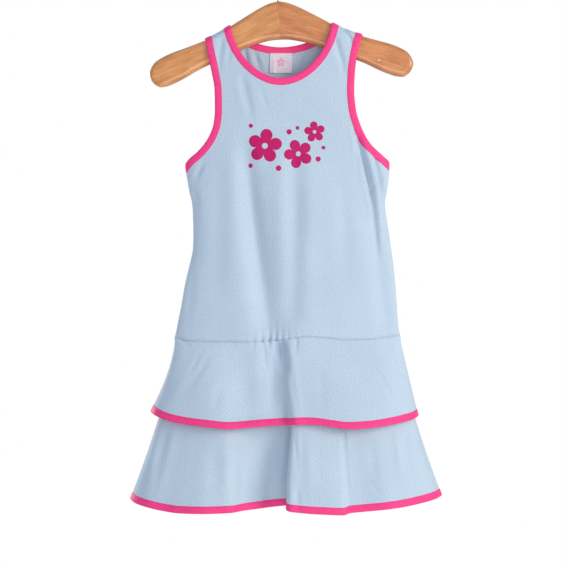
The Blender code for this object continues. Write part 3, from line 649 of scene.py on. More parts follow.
# %% [markdown]
# The binding is a narrow strip of stretch jersey, folded over the raw edge. It is dyed, not heather, so it is one
# strong pink, and being pulled tight it is smoother and a little glossier than the panels. Fine ribs cross it
# where the strip is stretched round the curves. They are drawn 3.6 mm apart, which is coarser than the real ones.

# %% Finish: pink binding and its thread
RIB_SPACING_MM = 3.6
BINDING_FLECK_MM = (3.0, 3.0, 3.0)
TWIST_MM = (1.11, 1.11, 1.11)

binding = new_material(
    "pink_stretch_binding", Roughness=0.62, Sheen_Weight=0.15, Sheen_Roughness=0.4, Specular_IOR_Level=0.35
)
strip = (add_node(binding, "ShaderNodeTexCoord"), "UV")
_, pink = add_pattern(binding, strip, BINDING_FLECK_MM, ((0.3, "#F4357F"), (0.7, "#FB4489")), Detail=3.0)
ribs = add_node(
    binding, "ShaderNodeTexWave", values={"Scale": ONE_MM_BANDS / RIB_SPACING_MM, "Distortion": 0.6},
    links={"Vector": strip},
)
set_surface(binding, (pink, "Color"), (ribs, "Fac"), strength=0.12, depth=0.0004)

# Spun polyester sewing thread. Its colour is a shade darker than the binding's, and that darkening is painted
# shade, because the thread sits in its own shadow
thread = new_material("pink_polyester_thread", Roughness=0.5, Sheen_Weight=0.3)
twist_at = (add_node(thread, "ShaderNodeTexCoord"), "Object")
# The thread's colour mixes its real twist with painted shade
_, twist_and_painted_shade = add_pattern(thread, twist_at, TWIST_MM, ((0.35, "#C92E70"), (0.65, "#E2468A")), Detail=1.0)
set_surface(thread, (twist_and_painted_shade, "Color"))
print("materials so far:", [m.name for m in (jersey, binding, thread)])

# %% [markdown]
# Cloth is made as a sheet of quads on the form's middle surface and given its thickness by a Solidify modifier,
# which keeps both faces parallel and closes the edges. A panel is made of several grids, because a strap and the
# middle under the neck need their own directions. Grids that share an edge are welded. The cloth coordinates in
# metres go into the UV map, so that the knit keeps its size.

# %% Helpers for cloth meshes
WELD = 0.00002


def place_piece(piece, material, slot, *nodes):
    """Links a piece, gives it its finish, rides it on the one body, and hides the solids that it stands for."""
    piece.data.materials.append(material)
    bpy.context.scene.collection.objects.link(piece)
    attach(piece, "root")
    if nodes:
        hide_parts(*nodes)
    return piece


def mesh_of(name, points, faces, coordinates):
    """A smooth mesh from points in millimetres, faces, and cloth coordinates for each point."""
    mesh = bpy.data.meshes.new(name)
    mesh.from_pydata((np.asarray(points) * MM).tolist(), [], faces)
    uv = mesh.uv_layers.new(name="cloth")
    corner = np.zeros(len(mesh.loops), np.int32)
    mesh.loops.foreach_get("vertex_index", corner)
    uv.data.foreach_set("uv", (np.asarray(coordinates)[corner] * MM).astype(np.float32).ravel())
    mesh.shade_smooth()
    return mesh


def quads_of(number):
    """The quads between the points of a grid, from the grid of their numbers."""
    return np.stack([number[:-1, :-1], number[1:, :-1], number[1:, 1:], number[:-1, 1:]], axis=-1).reshape(-1, 4)


def cloth_piece(name, grids, thickness):
    """A piece of cloth from grids of points and of cloth coordinates."""
    points, coordinates, faces, start = [], [], [], 0
    for place, cloth in grids:
        rows, columns = place.shape[:2]
        points.append(place.reshape(-1, 3))
        coordinates.append(cloth.reshape(-1, 2))
        faces.extend(quads_of(start + np.arange(rows * columns).reshape(rows, columns)).tolist())
        start += rows * columns
    mesh = mesh_of(name, np.vstack(points), faces, np.vstack(coordinates))
    piece = bpy.data.objects.new(name, mesh)
    weld = piece.modifiers.new("join the grids", "WELD")
    weld.merge_threshold = WELD
    wall = piece.modifiers.new("cloth thickness", "SOLIDIFY")
    wall.thickness = thickness * MM
    wall.offset = 0.0
    return piece


# %% [markdown]
# The front and back panels are cut alike but for the neck. From the shoulder seam each strap goes down to the
# neck's turning point, and there the middle part starts, whose columns run from the neck to the waist. The cut
# edge ends inside the binding, just short of the fold, as the real one does.

# %% Front and back panels
CUT_EDGE = 1.6
ROWS_EACH = 5
COLUMNS_EACH = 10
SIDE_COLUMNS = 5
MIDDLE_COLUMNS = 10
CROWDING = 1.2
MIDDLE_SPREAD = 1.05
# How late on the way down the rows start to follow the waist seam
SEAM_POWER = 3


def panel_grids(face):
    """The panel's grids: left and right of the neck, and the middle under it."""
    neck = NeckEdge(face, CUT_EDGE)
    corner = {side: neck.at(np.array(SIDE_SIGN[side] * NECK_CORNER)) for side in SIDE_SIGN}
    waist_end = {side: float(corner[side][0]) * MIDDLE_SPREAD for side in SIDE_SIGN}
    row = np.linspace(0.0, WAIST_ROW, WAIST_ROW * ROWS_EACH + 1)
    down = np.clip((row - CORNER_ROW) / (WAIST_ROW - CORNER_ROW), 0.0, 1.0)
    grids = []
    for side, sign in SIDE_SIGN.items():
        hole = ArmholeEdge(side, CUT_EDGE)
        x, height = hole.at(np.minimum(row, UNDERARM_ROW))
        outer_turn = np.where(row < UNDERARM_ROW, turn_at(x, height), sign)
        lowest = waist(side_x[side](WAIST_ROWS[0][1]))
        below = np.clip((row - UNDERARM_ROW) / (WAIST_ROW - UNDERARM_ROW), 0.0, 1.0)
        outer_height = np.where(row < UNDERARM_ROW, height, mix(hole.end, lowest, below))
        strap_x, strap_height = neck.strap(side, np.minimum(row, CORNER_ROW))
        inner_x = np.where(row <= CORNER_ROW, strap_x, mix(corner[side][0], waist_end[side], down))
        inner_height = mix(strap_height, waist(waist_end[side]), down)

        share = np.linspace(0.0, 1.0, SIDE_COLUMNS * COLUMNS_EACH + 1)[None, :] ** CROWDING
        outer_x = bodice_form(face, outer_turn, outer_height)[:, 0]
        rolled_x = mix(outer_x[:, None], inner_x[:, None], share)
        rolled_height = height_on_roll(rolled_x, (row / ROLL_ROWS)[:, None])
        turn = mix(outer_turn[:, None], turn_at(inner_x, inner_height)[:, None], share)
        height = mix(outer_height[:, None], inner_height[:, None], share)
        seam = waist(bodice_form(face, turn, height)[..., 0])
        at_seam = mix(lowest, waist(waist_end[side]), share)
        height = height + (seam - at_seam) * down[:, None] ** SEAM_POWER
        rolls = (row <= ROLL_ROWS)[:, None]
        height = np.where(rolls, rolled_height, height)
        turn = np.where(rolls, turn_at(rolled_x, rolled_height), turn)
        one_way_round = slice(None, None, -int(sign))
        grids.append((turn[:, one_way_round], height[:, one_way_round]))

    down = np.linspace(0.0, 1.0, (WAIST_ROW - CORNER_ROW) * ROWS_EACH + 1)[:, None]
    share = np.linspace(0.0, 1.0, MIDDLE_COLUMNS * COLUMNS_EACH + 1)[None, :]
    x, height = neck.at(mix(-NECK_CORNER, NECK_CORNER, share))
    low_x = mix(waist_end["left"], waist_end["right"], share)
    height = mix(height, waist(low_x), down)
    grids.append((turn_at(mix(x, low_x, down), height), height))
    return grids


def bodice_cloth(face, turn, height):
    """Cloth coordinates on the bodice: round it and along it."""
    place = bodice_form(face, turn, height)
    round_it = place[..., 0] + np.sign(turn) * (depth_of[face](height) - np.abs(place[..., 1]))
    return np.stack([round_it, height], axis=-1)


panels = {}
for face in FACE_SIGN:
    grids = [(bodice(face, *grid), bodice_cloth(face, *grid)) for grid in panel_grids(face)]
    panels[face] = place_piece(
        cloth_piece(face + "_panel", grids, CLOTH), jersey, "jersey", face + "_bodice"
    )
    print(panels[face].name, len(panels[face].data.polygons), "quads")

# %% [markdown]
# A binding could be a flat strip laid on the edge, but then its rounded fold and its thickness would be missing
# where it shows most, against the wall. It is made as a folded strip instead: for every place along the edge, a
# section that leaves the cloth, rises over the raw edge inside it, and turns round the fold. A shallow groove
# near the sewn edge holds the stitches.

# %% Helpers for bindings
BINDING_WIDTH = 8.4
# Share of the width from the fold, half thickness in millimetres
BINDING_SECTION = (
    (1.0, 0.62),
    (0.985, 0.92),
    (0.93, 1.0),
    (0.885, 0.86),
    (0.84, 1.02),
    (0.70, 1.16),
    (0.48, 1.22),
    (0.26, 1.17),
    (0.12, 0.98),
    (0.04, 0.6),
    (0.0, 0.0),
)
# The section's rows in the groove, and where the strip's length is measured
GROOVE_ROW = 3
LENGTH_ROW = 5


def length_along(line):
    """The length along a closed line at each of its points, and back at the first."""
    steps = np.linalg.norm(np.diff(line, axis=0, append=line[:1]), axis=1)
    return np.concatenate([[0.0], np.cumsum(steps)])


def binding_piece(name, places, node):
    """A closed binding; places(share) gives its rings' points and normals at a share of its width."""
    sides = [places(share) for share, _ in BINDING_SECTION]
    share, half = column(BINDING_SECTION, 0), column(BINDING_SECTION, 1)
    outer = np.stack([place + normal * h for (place, normal), h in zip(sides, half)], axis=1)
    inner = np.stack([place - normal * h for (place, normal), h in zip(sides, half)], axis=1)
    ring = np.concatenate([outer, inner[:, -2::-1]], axis=1)
    rings, size = ring.shape[:2]
    number = np.pad(np.arange(rings * size).reshape(rings, size), (0, 1), mode="wrap")
    along = length_along(outer[:, LENGTH_ROW])
    across = np.concatenate([share, 2.0 - share[-2::-1]]) * BINDING_WIDTH
    coordinates = np.stack(np.broadcast_arrays(along[:-1, None], across[None, :]), axis=-1)
    mesh = mesh_of(name, ring.reshape(-1, 3), quads_of(number.T).tolist(), coordinates.reshape(-1, 2))
    piece = place_piece(bpy.data.objects.new(name, mesh), binding, "binding", node)
    print(name, round(float(along[-1])), "mm round,", len(mesh.polygons), "quads")
    return piece


# %% [markdown]
# Stitches are real thread, so each is its own small body: a short rod, thinner at its ends, which dip into the
# cloth. A row is laid along the binding's groove, and again on the inside, where the bobbin thread runs.

# %% Helpers for stitches
STITCH_LENGTH = 2.1
STITCH_GAP = 0.75
STITCH_RADIUS = 0.26
STITCH_CORNERS = 6
# Share along the stitch, share of the radius, height above its line
STITCH_SECTION = (
    (0.0, 0.45, -0.24),
    (0.12, 0.85, -0.04),
    (0.5, 1.0, 0.1),
    (0.88, 0.85, -0.04),
    (1.0, 0.45, -0.24),
)


def stitch_rows(name, rows):
    """Stitches along closed rows, each a pair of points and outward normals."""
    points, faces = [], []
    corner = (2 * math.pi * np.arange(STITCH_CORNERS) / STITCH_CORNERS)[None, :, None]
    share, width, lift = (column(STITCH_SECTION, k) for k in range(3))
    number = np.arange(len(STITCH_SECTION) * STITCH_CORNERS).reshape(-1, STITCH_CORNERS)
    sides = quads_of(np.pad(number, ((0, 0), (0, 1)), mode="wrap").T)
    for line, normal in rows:
        at = length_along(line)
        line, normal = np.vstack([line, line[:1]]), np.vstack([normal, normal[:1]])
        count = int(at[-1] / (STITCH_LENGTH + STITCH_GAP))
        for start in np.arange(count) * at[-1] / count:
            places = start + STITCH_LENGTH * share
            centre = np.stack([np.interp(places, at, line[:, k]) for k in range(3)], axis=1)
            up = unit(np.stack([np.interp(places, at, normal[:, k]) for k in range(3)], axis=1))
            beside = unit(np.cross(unit(centre[-1] - centre[0]), up))
            first = len(points) * number.size
            faces += (first + sides).tolist()
            faces += [(first + end).tolist() for end in (number[0, ::-1], number[-1])]
            turn = np.cos(corner) * beside[:, None] + np.sin(corner) * up[:, None]
            ring = (centre + up * lift[:, None])[:, None] + turn * (STITCH_RADIUS * width)[:, None, None]
            points.append(ring.reshape(-1, 3))
    print(name, len(points), "stitches")
    points = np.vstack(points)
    mesh = mesh_of(name, points, faces, points[:, [0, 2]])
    return place_piece(bpy.data.objects.new(name, mesh), thread, "binding")


def sewn_binding(name, places, node):
    """A binding and the two rows of stitches that hold it, outside and inside."""
    share, deep = BINDING_SECTION[GROOVE_ROW]
    line, normal = places(share)
    rows = [(line + side * normal * deep, side * normal) for side in (1.0, -1.0)]
    return [binding_piece(name, places, node), stitch_rows(name.replace("band", "stitches"), rows)]


# %% [markdown]
# The neck's binding is one closed strip: down the front's curve from one shoulder to the other, and back up round
# the back of the neck. Each armhole's binding goes from the shoulder round the underarm and back.

# %% Neck and armhole bindings
BINDING_RINGS = 4


def ring_of(halves, seam_ends=()):
    """A closed ring from its front and back half, whose ends on a side seam are brought level there."""
    for place, normal in halves:
        for end in seam_ends:
            place[end, 1] = 0.0
            normal[end, 1] = 0.0
            normal[end] = unit(normal[end])
    return tuple(np.concatenate([front[:-1], back[:0:-1]]) for front, back in zip(*halves))


def neck_places(share):
    """Points and normals round the neck, at a share of the binding's width from its fold."""
    halves = []
    for face in FACE_SIGN:
        edge = NeckEdge(face, share * BINDING_WIDTH)
        row = np.linspace(0.0, CORNER_ROW, CORNER_ROW * BINDING_RINGS + 1)[:-1]
        left, right = edge.strap("left", row), edge.strap("right", row)
        middle = edge.at(np.linspace(-NECK_CORNER, NECK_CORNER, MIDDLE_COLUMNS * BINDING_RINGS + 1))
        x, height = (np.concatenate([left[k], middle[k], right[k][::-1]]) for k in range(2))
        halves.append(bodice_place(face, turn_at(x, height), height))
    return ring_of(halves)


def armhole_places(side, share):
    """Points and normals round an armhole, at a share of the binding's width from its fold."""
    row = np.linspace(0.0, UNDERARM_ROW, UNDERARM_ROW * BINDING_RINGS + 1)
    x, height = ArmholeEdge(side, share * BINDING_WIDTH).at(row)
    return ring_of([bodice_place(face, turn_at(x, height), height) for face in FACE_SIGN], seam_ends=(-1,))


neck_band, neck_stitches = sewn_binding("neck_band", neck_places, "neck_binding")
armhole_bands = []
for side in SIDE_SIGN:
    armhole_bands += sewn_binding(
        "armhole_band_" + side, lambda share: armhole_places(side, share), "armhole_binding_" + side
    )

# %% [markdown]
# The skirt's two tiers are flared strips. Cut, each is part of a ring, short at the waist and long at the hem, and
# the spare length falls into folds that deepen on the way down. So each tier is drawn by lines from the waist to
# the hem, one for each fold, with a table that says where each meets the hem. Between the rows the surface is
# smooth, and the deep tuck in the lower tier's middle, where the cloth doubles back behind a flap, is in the same
# table, because its places across go back and forth.

# %% The tiers' folds
# Where each fold line meets the hem (x, y, z), and where it starts on the waist
UPPER_FRONT = (
    (-144.0, 0.0, -532.3, -115.5),  # left seam
    (-139.0, -12.0, -535.2, -114.0),
    (-124.5, -24.0, -540.5, -107.0),  # left bend
    (-102.6, -32.0, -544.7, -94.0),
    (-79.7, -38.0, -547.2, -79.0),
    (-54.8, -42.0, -549.1, -59.0),  # left crest
    (-29.0, -40.0, -547.2, -34.0),
    (-6.6, -35.5, -546.0, -14.0),
    (9.2, -34.0, -545.3, 1.0),  # trough
    (18.2, -40.0, -545.0, 10.0),
    (24.0, -44.0, -544.2, 16.0),  # ridge
    (34.0, -43.0, -544.1, 23.0),
    (46.0, -44.0, -544.4, 32.0),
    (64.1, -46.5, -546.6, 48.0),
    (83.1, -48.0, -548.8, 68.0),  # right crest
    (105.6, -45.0, -547.7, 91.0),
    (128.4, -38.0, -544.9, 113.0),
    (146.1, -27.0, -542.0, 127.0),  # right bend
    (157.5, -14.0, -539.6, 138.0),
    (163.2, 0.0, -537.4, 141.7),  # right seam
)
UPPER_BACK = (
    (-144.0, 0.0, -532.3, -115.5),  # left seam
    (-139.5, 11.0, -535.0, -114.0),
    (-127.0, 22.0, -540.0, -106.0),
    (-98.0, 34.0, -545.0, -88.0),
    (-66.0, 30.0, -546.0, -62.0),
    (-34.0, 38.0, -548.0, -34.0),
    (4.0, 31.5, -547.0, 0.0),  # middle dip
    (42.0, 39.0, -548.0, 36.0),
    (76.0, 32.5, -547.0, 66.0),
    (108.0, 37.0, -546.0, 92.0),
    (146.0, 25.0, -542.0, 124.0),
    (158.0, 12.0, -539.0, 137.0),
    (163.2, 0.0, -537.4, 141.7),  # right seam
)
LOWER_FRONT = (
    (-167.2, 0.0, -632.6, -115.5),  # left seam
    (-162.0, -12.0, -635.1, -114.0),
    (-147.0, -25.0, -638.8, -104.5),  # left bend
    (-127.0, -31.0, -642.6, -92.0),
    (-108.0, -38.0, -644.3, -78.0),
    (-82.0, -44.0, -644.2, -57.0),  # left crest
    (-54.0, -42.0, -643.5, -32.0),
    (-29.0, -33.0, -641.6, -10.0),
    (-4.0, -21.0, -640.0, 4.0),  # trough
    (14.0, -14.0, -638.2, 10.5),
    (22.0, -17.0, -637.4, 14.0),  # tuck's turn
    (20.5, -27.0, -637.6, 16.0),
    (14.0, -38.0, -638.6, 17.8),
    (11.5, -46.0, -639.4, 19.6),  # flap's edge
    (16.0, -51.5, -640.8, 22.0),
    (26.0, -51.5, -642.0, 27.0),
    (40.5, -53.5, -643.0, 36.0),
    (60.5, -54.0, -643.9, 52.0),
    (75.5, -52.5, -644.5, 66.0),  # flap's end
    (84.0, -44.5, -643.0, 74.0),  # step
    (97.0, -44.0, -641.8, 84.0),
    (122.0, -46.0, -639.2, 100.0),  # right crest
    (145.0, -40.5, -636.6, 113.0),
    (166.0, -31.0, -633.2, 126.0),
    (181.9, -18.0, -630.3, 137.0),
    (190.2, 0.0, -628.6, 141.7),  # right seam
)
LOWER_BACK = (
    (-167.2, 0.0, -632.6, -115.5),  # left seam
    (-162.0, 12.0, -634.5, -114.0),
    (-148.0, 24.0, -637.5, -105.0),
    (-118.0, 36.0, -641.0, -88.0),
    (-86.0, 27.0, -640.0, -66.0),
    (-48.0, 41.0, -643.0, -38.0),
    (-4.0, 28.0, -641.0, -4.0),  # middle dip
    (40.0, 43.0, -643.0, 34.0),
    (78.0, 30.0, -641.0, 66.0),
    (118.0, 40.0, -640.0, 92.0),
    (150.0, 33.0, -637.0, 115.0),
    (172.0, 21.0, -633.5, 128.0),
    (184.5, 10.5, -630.5, 137.5),
    (190.2, 0.0, -628.6, 141.7),  # right seam
)
UPPER_FLARE = (1.6, 1.08)
LOWER_FLARE = (1.35, 1.42)
FOLD_GROWTH = 1.1
LAYER_STEP = 1.7

# The folded middle of the waist, which takes both tiers in: half width, then the path, as for the bodice
WAIST_FOLDS = (
    (5.5, ((1.5, -448.0, 0.0), (4.8, -456.0, -8.8), (8.8, -474.0, -5.4), (12.0, -494.0, 0.0))),
    (24.0, ((-34.0, -449.0, 0.0), (-34.0, -472.0, -4.4), (-32.0, -500.0, -9.0), (-29.0, -530.0, -7.4),
            (-26.0, -552.0, -2.0))),
    (11.0, ((-3.0, -447.0, 0.0), (-2.0, -472.0, -4.6), (0.0, -500.0, -5.0), (2.0, -530.0, -3.4),
            (4.0, -548.0, 0.0))),
)
UPPER_CREASES = {
    "front": (
        # the folded middle, under the puckers
        (2.1, ((-13.5, -449.0, -1.2), (-13.0, -460.0, -2.0), (-11.5, -472.0, -1.4), (-10.0, -486.0, 0.0))),
        (2.0, ((24.0, -448.0, -1.2), (23.0, -458.0, -0.8), (22.0, -470.0, 0.0))),
        (4.0, ((-6.0, -454.0, 0.0), (-8.0, -472.0, 0.9), (-9.0, -500.0, 0.4), (-9.0, -530.0, 0.0))),
        (3.6, ((9.0, -480.0, 0.0), (9.0, -505.0, -0.9), (9.0, -540.0, -1.2))),
        (2.3, ((17.0, -476.0, 0.0), (20.0, -505.0, -0.9), (25.0, -538.0, -0.6))),
        # from the waist's left end, fanning out
        (2.2, ((-110.0, -449.0, -0.4), (-104.0, -453.0, -1.1), (-95.0, -458.0, 0.0))),
        (3.6, ((-70.0, -456.0, 0.0), (-84.0, -482.0, -0.7), (-103.0, -512.0, 0.0))),
        (3.0, ((-80.0, -456.0, 0.0), (-91.0, -476.0, -0.6), (-103.0, -497.0, 0.0))),
        (5.0, ((-92.0, -470.0, 0.0), (-108.0, -502.0, 0.5), (-122.0, -524.0, 0.0))),
        (5.0, ((-58.0, -480.0, 0.0), (-66.0, -515.0, -0.7), (-70.0, -540.0, 0.0))),
        # towards the right end
        (3.4, ((106.0, -474.0, 0.0), (124.0, -500.0, -1.4), (143.0, -530.0, -0.6))),
        (3.0, ((97.0, -470.0, 0.0), (112.0, -494.0, -0.7), (128.0, -520.0, 0.0))),
        (7.0, ((126.0, -456.0, 0.0), (138.0, -490.0, -1.3), (150.0, -530.0, 0.0))),
        (5.0, ((48.0, -470.0, 0.0), (52.0, -505.0, -0.6), (54.0, -538.0, 0.0))),
    ),
    "back": (
        (3.6, ((-30.0, -450.0, -0.8), (-31.0, -475.0, -1.6), (-26.0, -510.0, 0.0))),
        (3.0, ((28.0, -447.0, -0.8), (30.0, -470.0, -1.3), (34.0, -500.0, 0.0))),
        (4.4, ((-80.0, -452.0, 0.0), (-88.0, -490.0, -1.2), (-96.0, -535.0, 0.0))),
        (3.2, ((96.0, -452.0, 0.0), (106.0, -486.0, -1.4), (120.0, -528.0, 0.0))),
        (5.0, ((60.0, -470.0, 0.0), (62.0, -505.0, 0.9), (60.0, -540.0, 0.0))),
        (4.0, ((-10.0, -480.0, 0.0), (-6.0, -510.0, -0.8), (-8.0, -542.0, 0.0))),
    ),
}
LOWER_CREASES = {
    "front": (
        # beside the left bend
        (5.5, ((-120.0, -535.0, 0.0), (-126.0, -560.0, -1.6), (-133.0, -592.0, -1.4), (-140.0, -625.0, -0.4))),
        (4.0, ((-133.0, -548.0, 0.0), (-140.0, -580.0, 0.6), (-146.0, -608.0, 0.0))),
        # the broad trough in the flap's shadow, and a shallow one
        (14.0, ((-32.0, -535.0, -4.0), (-31.0, -570.0, -10.0), (-31.0, -614.0, -14.0), (-31.0, -644.0, -8.0))),
        (9.0, ((-70.0, -550.0, 0.0), (-68.0, -590.0, -1.3), (-64.0, -632.0, -0.6))),
        # short waves above the hem
        (2.4, ((-110.0, -616.0, 0.0), (-98.0, -611.0, 0.7), (-84.0, -618.0, 0.0))),
        (2.2, ((-80.0, -610.0, 0.0), (-64.0, -608.0, -0.6), (-48.0, -617.0, 0.0))),
        (2.2, ((-92.0, -624.0, 0.0), (-76.0, -620.0, 0.5), (-58.0, -626.0, 0.0))),
        # behind the flap
        (14.0, ((-9.0, -545.0, -4.0), (-8.0, -580.0, -10.5), (-7.0, -617.0, -12.5), (-5.0, -644.0, -7.0))),
        # on the flap, whose upper edge is drawn in
        (5.0, ((17.0, -535.0, -1.6), (17.0, -560.0, -2.6), (15.5, -590.0, -1.0), (14.5, -612.0, 0.0))),
        (2.0, ((21.0, -548.0, 0.0), (23.0, -575.0, -0.9), (25.0, -608.0, 0.0))),
        (3.0, ((23.5, -612.0, 0.0), (24.0, -624.0, -1.6), (24.0, -640.0, -0.8))),
        (6.0, ((36.0, -545.0, 0.0), (37.0, -585.0, 0.8), (40.0, -625.0, 0.0))),
        (2.2, ((75.5, -530.0, -1.2), (76.5, -556.0, -1.6), (78.0, -590.0, -1.0), (81.0, -640.0, -0.5))),
        # right of the flap
        (4.0, ((134.0, -540.0, 0.0), (138.0, -575.0, 1.1), (143.0, -614.0, 0.0))),
        (5.0, ((142.0, -540.0, 0.0), (148.0, -575.0, -1.5), (156.0, -622.0, -0.4))),
        (3.0, ((104.0, -608.0, 0.0), (113.0, -618.0, -0.8), (126.0, -628.0, 0.0))),
        (6.0, ((108.0, -548.0, 0.0), (110.0, -590.0, -0.8), (112.0, -612.0, 0.0))),
    ),
    "back": (
        (5.0, ((-70.0, -540.0, 0.0), (-74.0, -580.0, -1.4), (-84.0, -630.0, -0.6))),
        (4.0, ((-20.0, -545.0, 0.0), (-16.0, -590.0, -1.2), (-10.0, -635.0, -0.4))),
        (3.4, ((58.0, -545.0, 0.0), (62.0, -585.0, -1.5), (70.0, -632.0, -0.5))),
        (4.0, ((96.0, -542.0, 0.0), (104.0, -585.0, 1.0), (112.0, -625.0, 0.0))),
        (3.0, ((132.0, -545.0, 0.0), (142.0, -585.0, -1.3), (152.0, -622.0, 0.0))),
        (3.0, ((-128.0, -545.0, 0.0), (-136.0, -585.0, -1.2), (-144.0, -622.0, 0.0))),
        (2.4, ((10.0, -616.0, 0.0), (26.0, -612.0, 0.6), (44.0, -619.0, 0.0))),
    ),
}
TIER_STEPS = (0.004, 0.01)


class Tier:
    """A flared tier's front or back: lines from the waist to each fold's place on the hem, drawn out into a
    flare and into folds that deepen on the way down."""

    def __init__(self, face, table, inset, flare, creases):
        self.face, self.inset, self.flare = face, inset, flare
        self.creases = creases[face] + (WAIST_FOLDS if face == "front" else ())
        steps = np.hypot(np.diff(column(table, 0)), np.diff(column(table, 1)))
        at = np.concatenate([[0.0], np.cumsum(steps)]) / steps.sum()
        self.width = float(steps.sum())
        self.hem = [curve_through(at, column(table, k)) for k in range(3)]
        self.start = curve_through(at, column(table, 3))

    def ends(self, t):
        """The places on the waist and on the hem."""
        x = self.start(t)
        height = waist(x) - self.inset / 2
        turn = turn_at(x, height)
        top = bodice(self.face, turn, height, seams=False)
        low = np.stack([read(t) for read in self.hem], axis=-1)
        return top - bodice_normal(bodice_form, self.face, turn, height) * self.inset, low

    def form(self, t, down):
        """Points of the smooth middle surface, down 0 at the waist and 1 at the hem."""
        t, down = np.broadcast_arrays(t, down)
        along, index = np.unique(t, return_inverse=True)
        top, low = (end[index.reshape(t.shape)] for end in self.ends(along))
        flare = mix(self.flare[0], self.flare[1], np.clip(t, 0.0, 1.0))
        down = np.maximum(down, 0.0)
        growth = np.stack([down**flare, down**FOLD_GROWTH, down], axis=-1)
        return top + (low - top) * growth

    def point(self, t, down):
        """Points of the creased middle surface."""
        t, down = np.broadcast_arrays(np.clip(t, 0.0, 1.0), np.maximum(down, 0.0))
        place = self.form(t, down)
        normal = normal_of(self.form, t, down, *TIER_STEPS, FACE_SIGN[self.face])
        from_waist = np.maximum(down, 0.0) * -(self.hem[2](0.5) - waist(0.0))
        move = crease_move(self.creases, place[..., 0], place[..., 2]) + seam_move(self.face, place, from_waist)
        return place + normal * move[..., None]

    def place(self, t, down):
        """Points of the creased surface and their outward normals."""
        return self.point(t, down), normal_of(self.point, t, down, *TIER_STEPS, FACE_SIGN[self.face])

    def down_at(self, t, distance):
        """How far down the tier is a distance above its free edge."""
        along, index = np.unique(t, return_inverse=True)
        top, low = self.ends(along)
        return 1.0 - distance / np.linalg.norm(low - top, axis=-1)[index.reshape(np.shape(t))]


tiers = {
    "upper": (
        Tier("front", UPPER_FRONT, 0.0, UPPER_FLARE, UPPER_CREASES),
        Tier("back", UPPER_BACK, 0.0, UPPER_FLARE, UPPER_CREASES),
    ),
    "lower": (
        Tier("front", LOWER_FRONT, LAYER_STEP, LOWER_FLARE, LOWER_CREASES),
        Tier("back", LOWER_BACK, LAYER_STEP, LOWER_FLARE, LOWER_CREASES),
    ),
}
print({name: [round(tier.width) for tier in pair] for name, pair in tiers.items()}, "mm of hem, front and back")

# %% [markdown]
# Each tier's cloth is one grid. Its columns follow the folds, and they are close enough together for the tuck.

# %% The tiers' cloth
TIER_COLUMNS = {"upper": 190, "lower": 240}
TIER_ROWS = {"upper": 56, "lower": 84}
HEM_CUT = 1.6
# The cloth above the waist seam turns in behind the bodice
ALLOWANCE = 1.5

skirts = {}
for name, pair in tiers.items():
    for tier in pair:
        t = np.linspace(0.0, 1.0, TIER_COLUMNS[name] + 1)[None, :]
        low = tier.down_at(t, HEM_CUT)
        down = np.linspace(0.0, 1.0, TIER_ROWS[name] + 1)[:, None] * low
        place, normal = tier.place(t, down)
        length = float(np.linalg.norm(place[-1, 0] - place[0, 0]))
        cloth = np.stack(np.broadcast_arrays(t * tier.width, -down * length), axis=-1)
        allowance = place[:1] - normal[:1] * ALLOWANCE + [0.0, 0.0, ALLOWANCE]
        place = np.concatenate([allowance, place])
        cloth = np.concatenate([cloth[:1] + [0.0, ALLOWANCE], cloth])
        skirts[name, tier.face] = place_piece(
            cloth_piece(f"{name}_skirt_{tier.face}", [(place, cloth)], CLOTH),
            jersey,
            "jersey",
            f"{name}_tier_{tier.face}",
        )
        print(skirts[name, tier.face].name, round(tier.width), "mm wide at the hem,", round(length), "mm long")

# %% The hems' bindings
HEM_RINGS = {"upper": 170, "lower": 220}


def hem_places(name, share):
    """Points and normals round a hem, at a share of the binding's width from its fold."""
    t = np.linspace(0.0, 1.0, HEM_RINGS[name] + 1)
    halves = [tier.place(t, tier.down_at(t, share * BINDING_WIDTH)) for tier in tiers[name]]
    return ring_of(halves, seam_ends=(0, -1))


for name in tiers:
    sewn_binding(
        f"{name}_hem_band", lambda share: hem_places(name, share), f"{name}_tier_binding"
    )

# %% [markdown]
# The chest carries a plain posy of five-petalled flowers and dots in magenta. It is screen-printed rubber ink,
# about a quarter of a millimetre thick, which lies on the knit and bends with it, so every point of it is the
# panel's own surface moved out.

# %% Finish: screen-print ink
INK_GRAIN_MM = (1.6, 1.6, 1.6)

ink = new_material("magenta_screen_print_ink", Roughness=0.55, Specular_IOR_Level=0.3)
ink_at = (add_node(ink, "ShaderNodeTexCoord"), "UV")
ink_grain, magenta = add_pattern(ink, ink_at, INK_GRAIN_MM, ((0.3, "#B8005A"), (0.7, "#C80468")), Detail=3.0)
set_surface(ink, (magenta, "Color"), (ink_grain, "Fac"), strength=0.2, depth=0.0003)

# %% The printed flowers
INK_THICKNESS = 0.24
PETALS = 5
PETAL_NOTCH = 0.5
PETAL_ROUNDING = 0.62
FLOWER_EYE = 0.17
DOT_EYE = 0.01
OUTLINE_POINTS = 121
# Middle across, middle height, radius, turn in degrees
FLOWERS = (
    (-12.5, -229.0, 19.5, 10.0),
    (25.5, -238.0, 16.5, 40.0),
    (44.0, -213.0, 12.0, 25.0),
)
# Middle across, middle height, radius
DOTS = (
    (15.0, -213.0, 3.0),
    (-29.0, -251.0, 2.6),
    (3.0, -254.5, 3.2),
    (24.5, -208.5, 2.2),
    (48.0, -244.0, 3.0),
    (54.0, -231.0, 2.2),
    (-28.5, -206.0, 2.4),
)
# A raised shape's section: share from its eye to its outline, share of its thickness; it starts a little sunk in
SUNK = -0.2
RAISED_SECTION = (
    (0.0, SUNK),
    (0.0, 0.0),
    (0.02, 0.6),
    (0.08, 0.95),
    (0.3, 1.0),
    (0.55, 1.0),
    (0.78, 1.0),
    (0.92, 0.95),
    (0.98, 0.6),
    (1.0, 0.0),
    (1.0, SUNK),
)


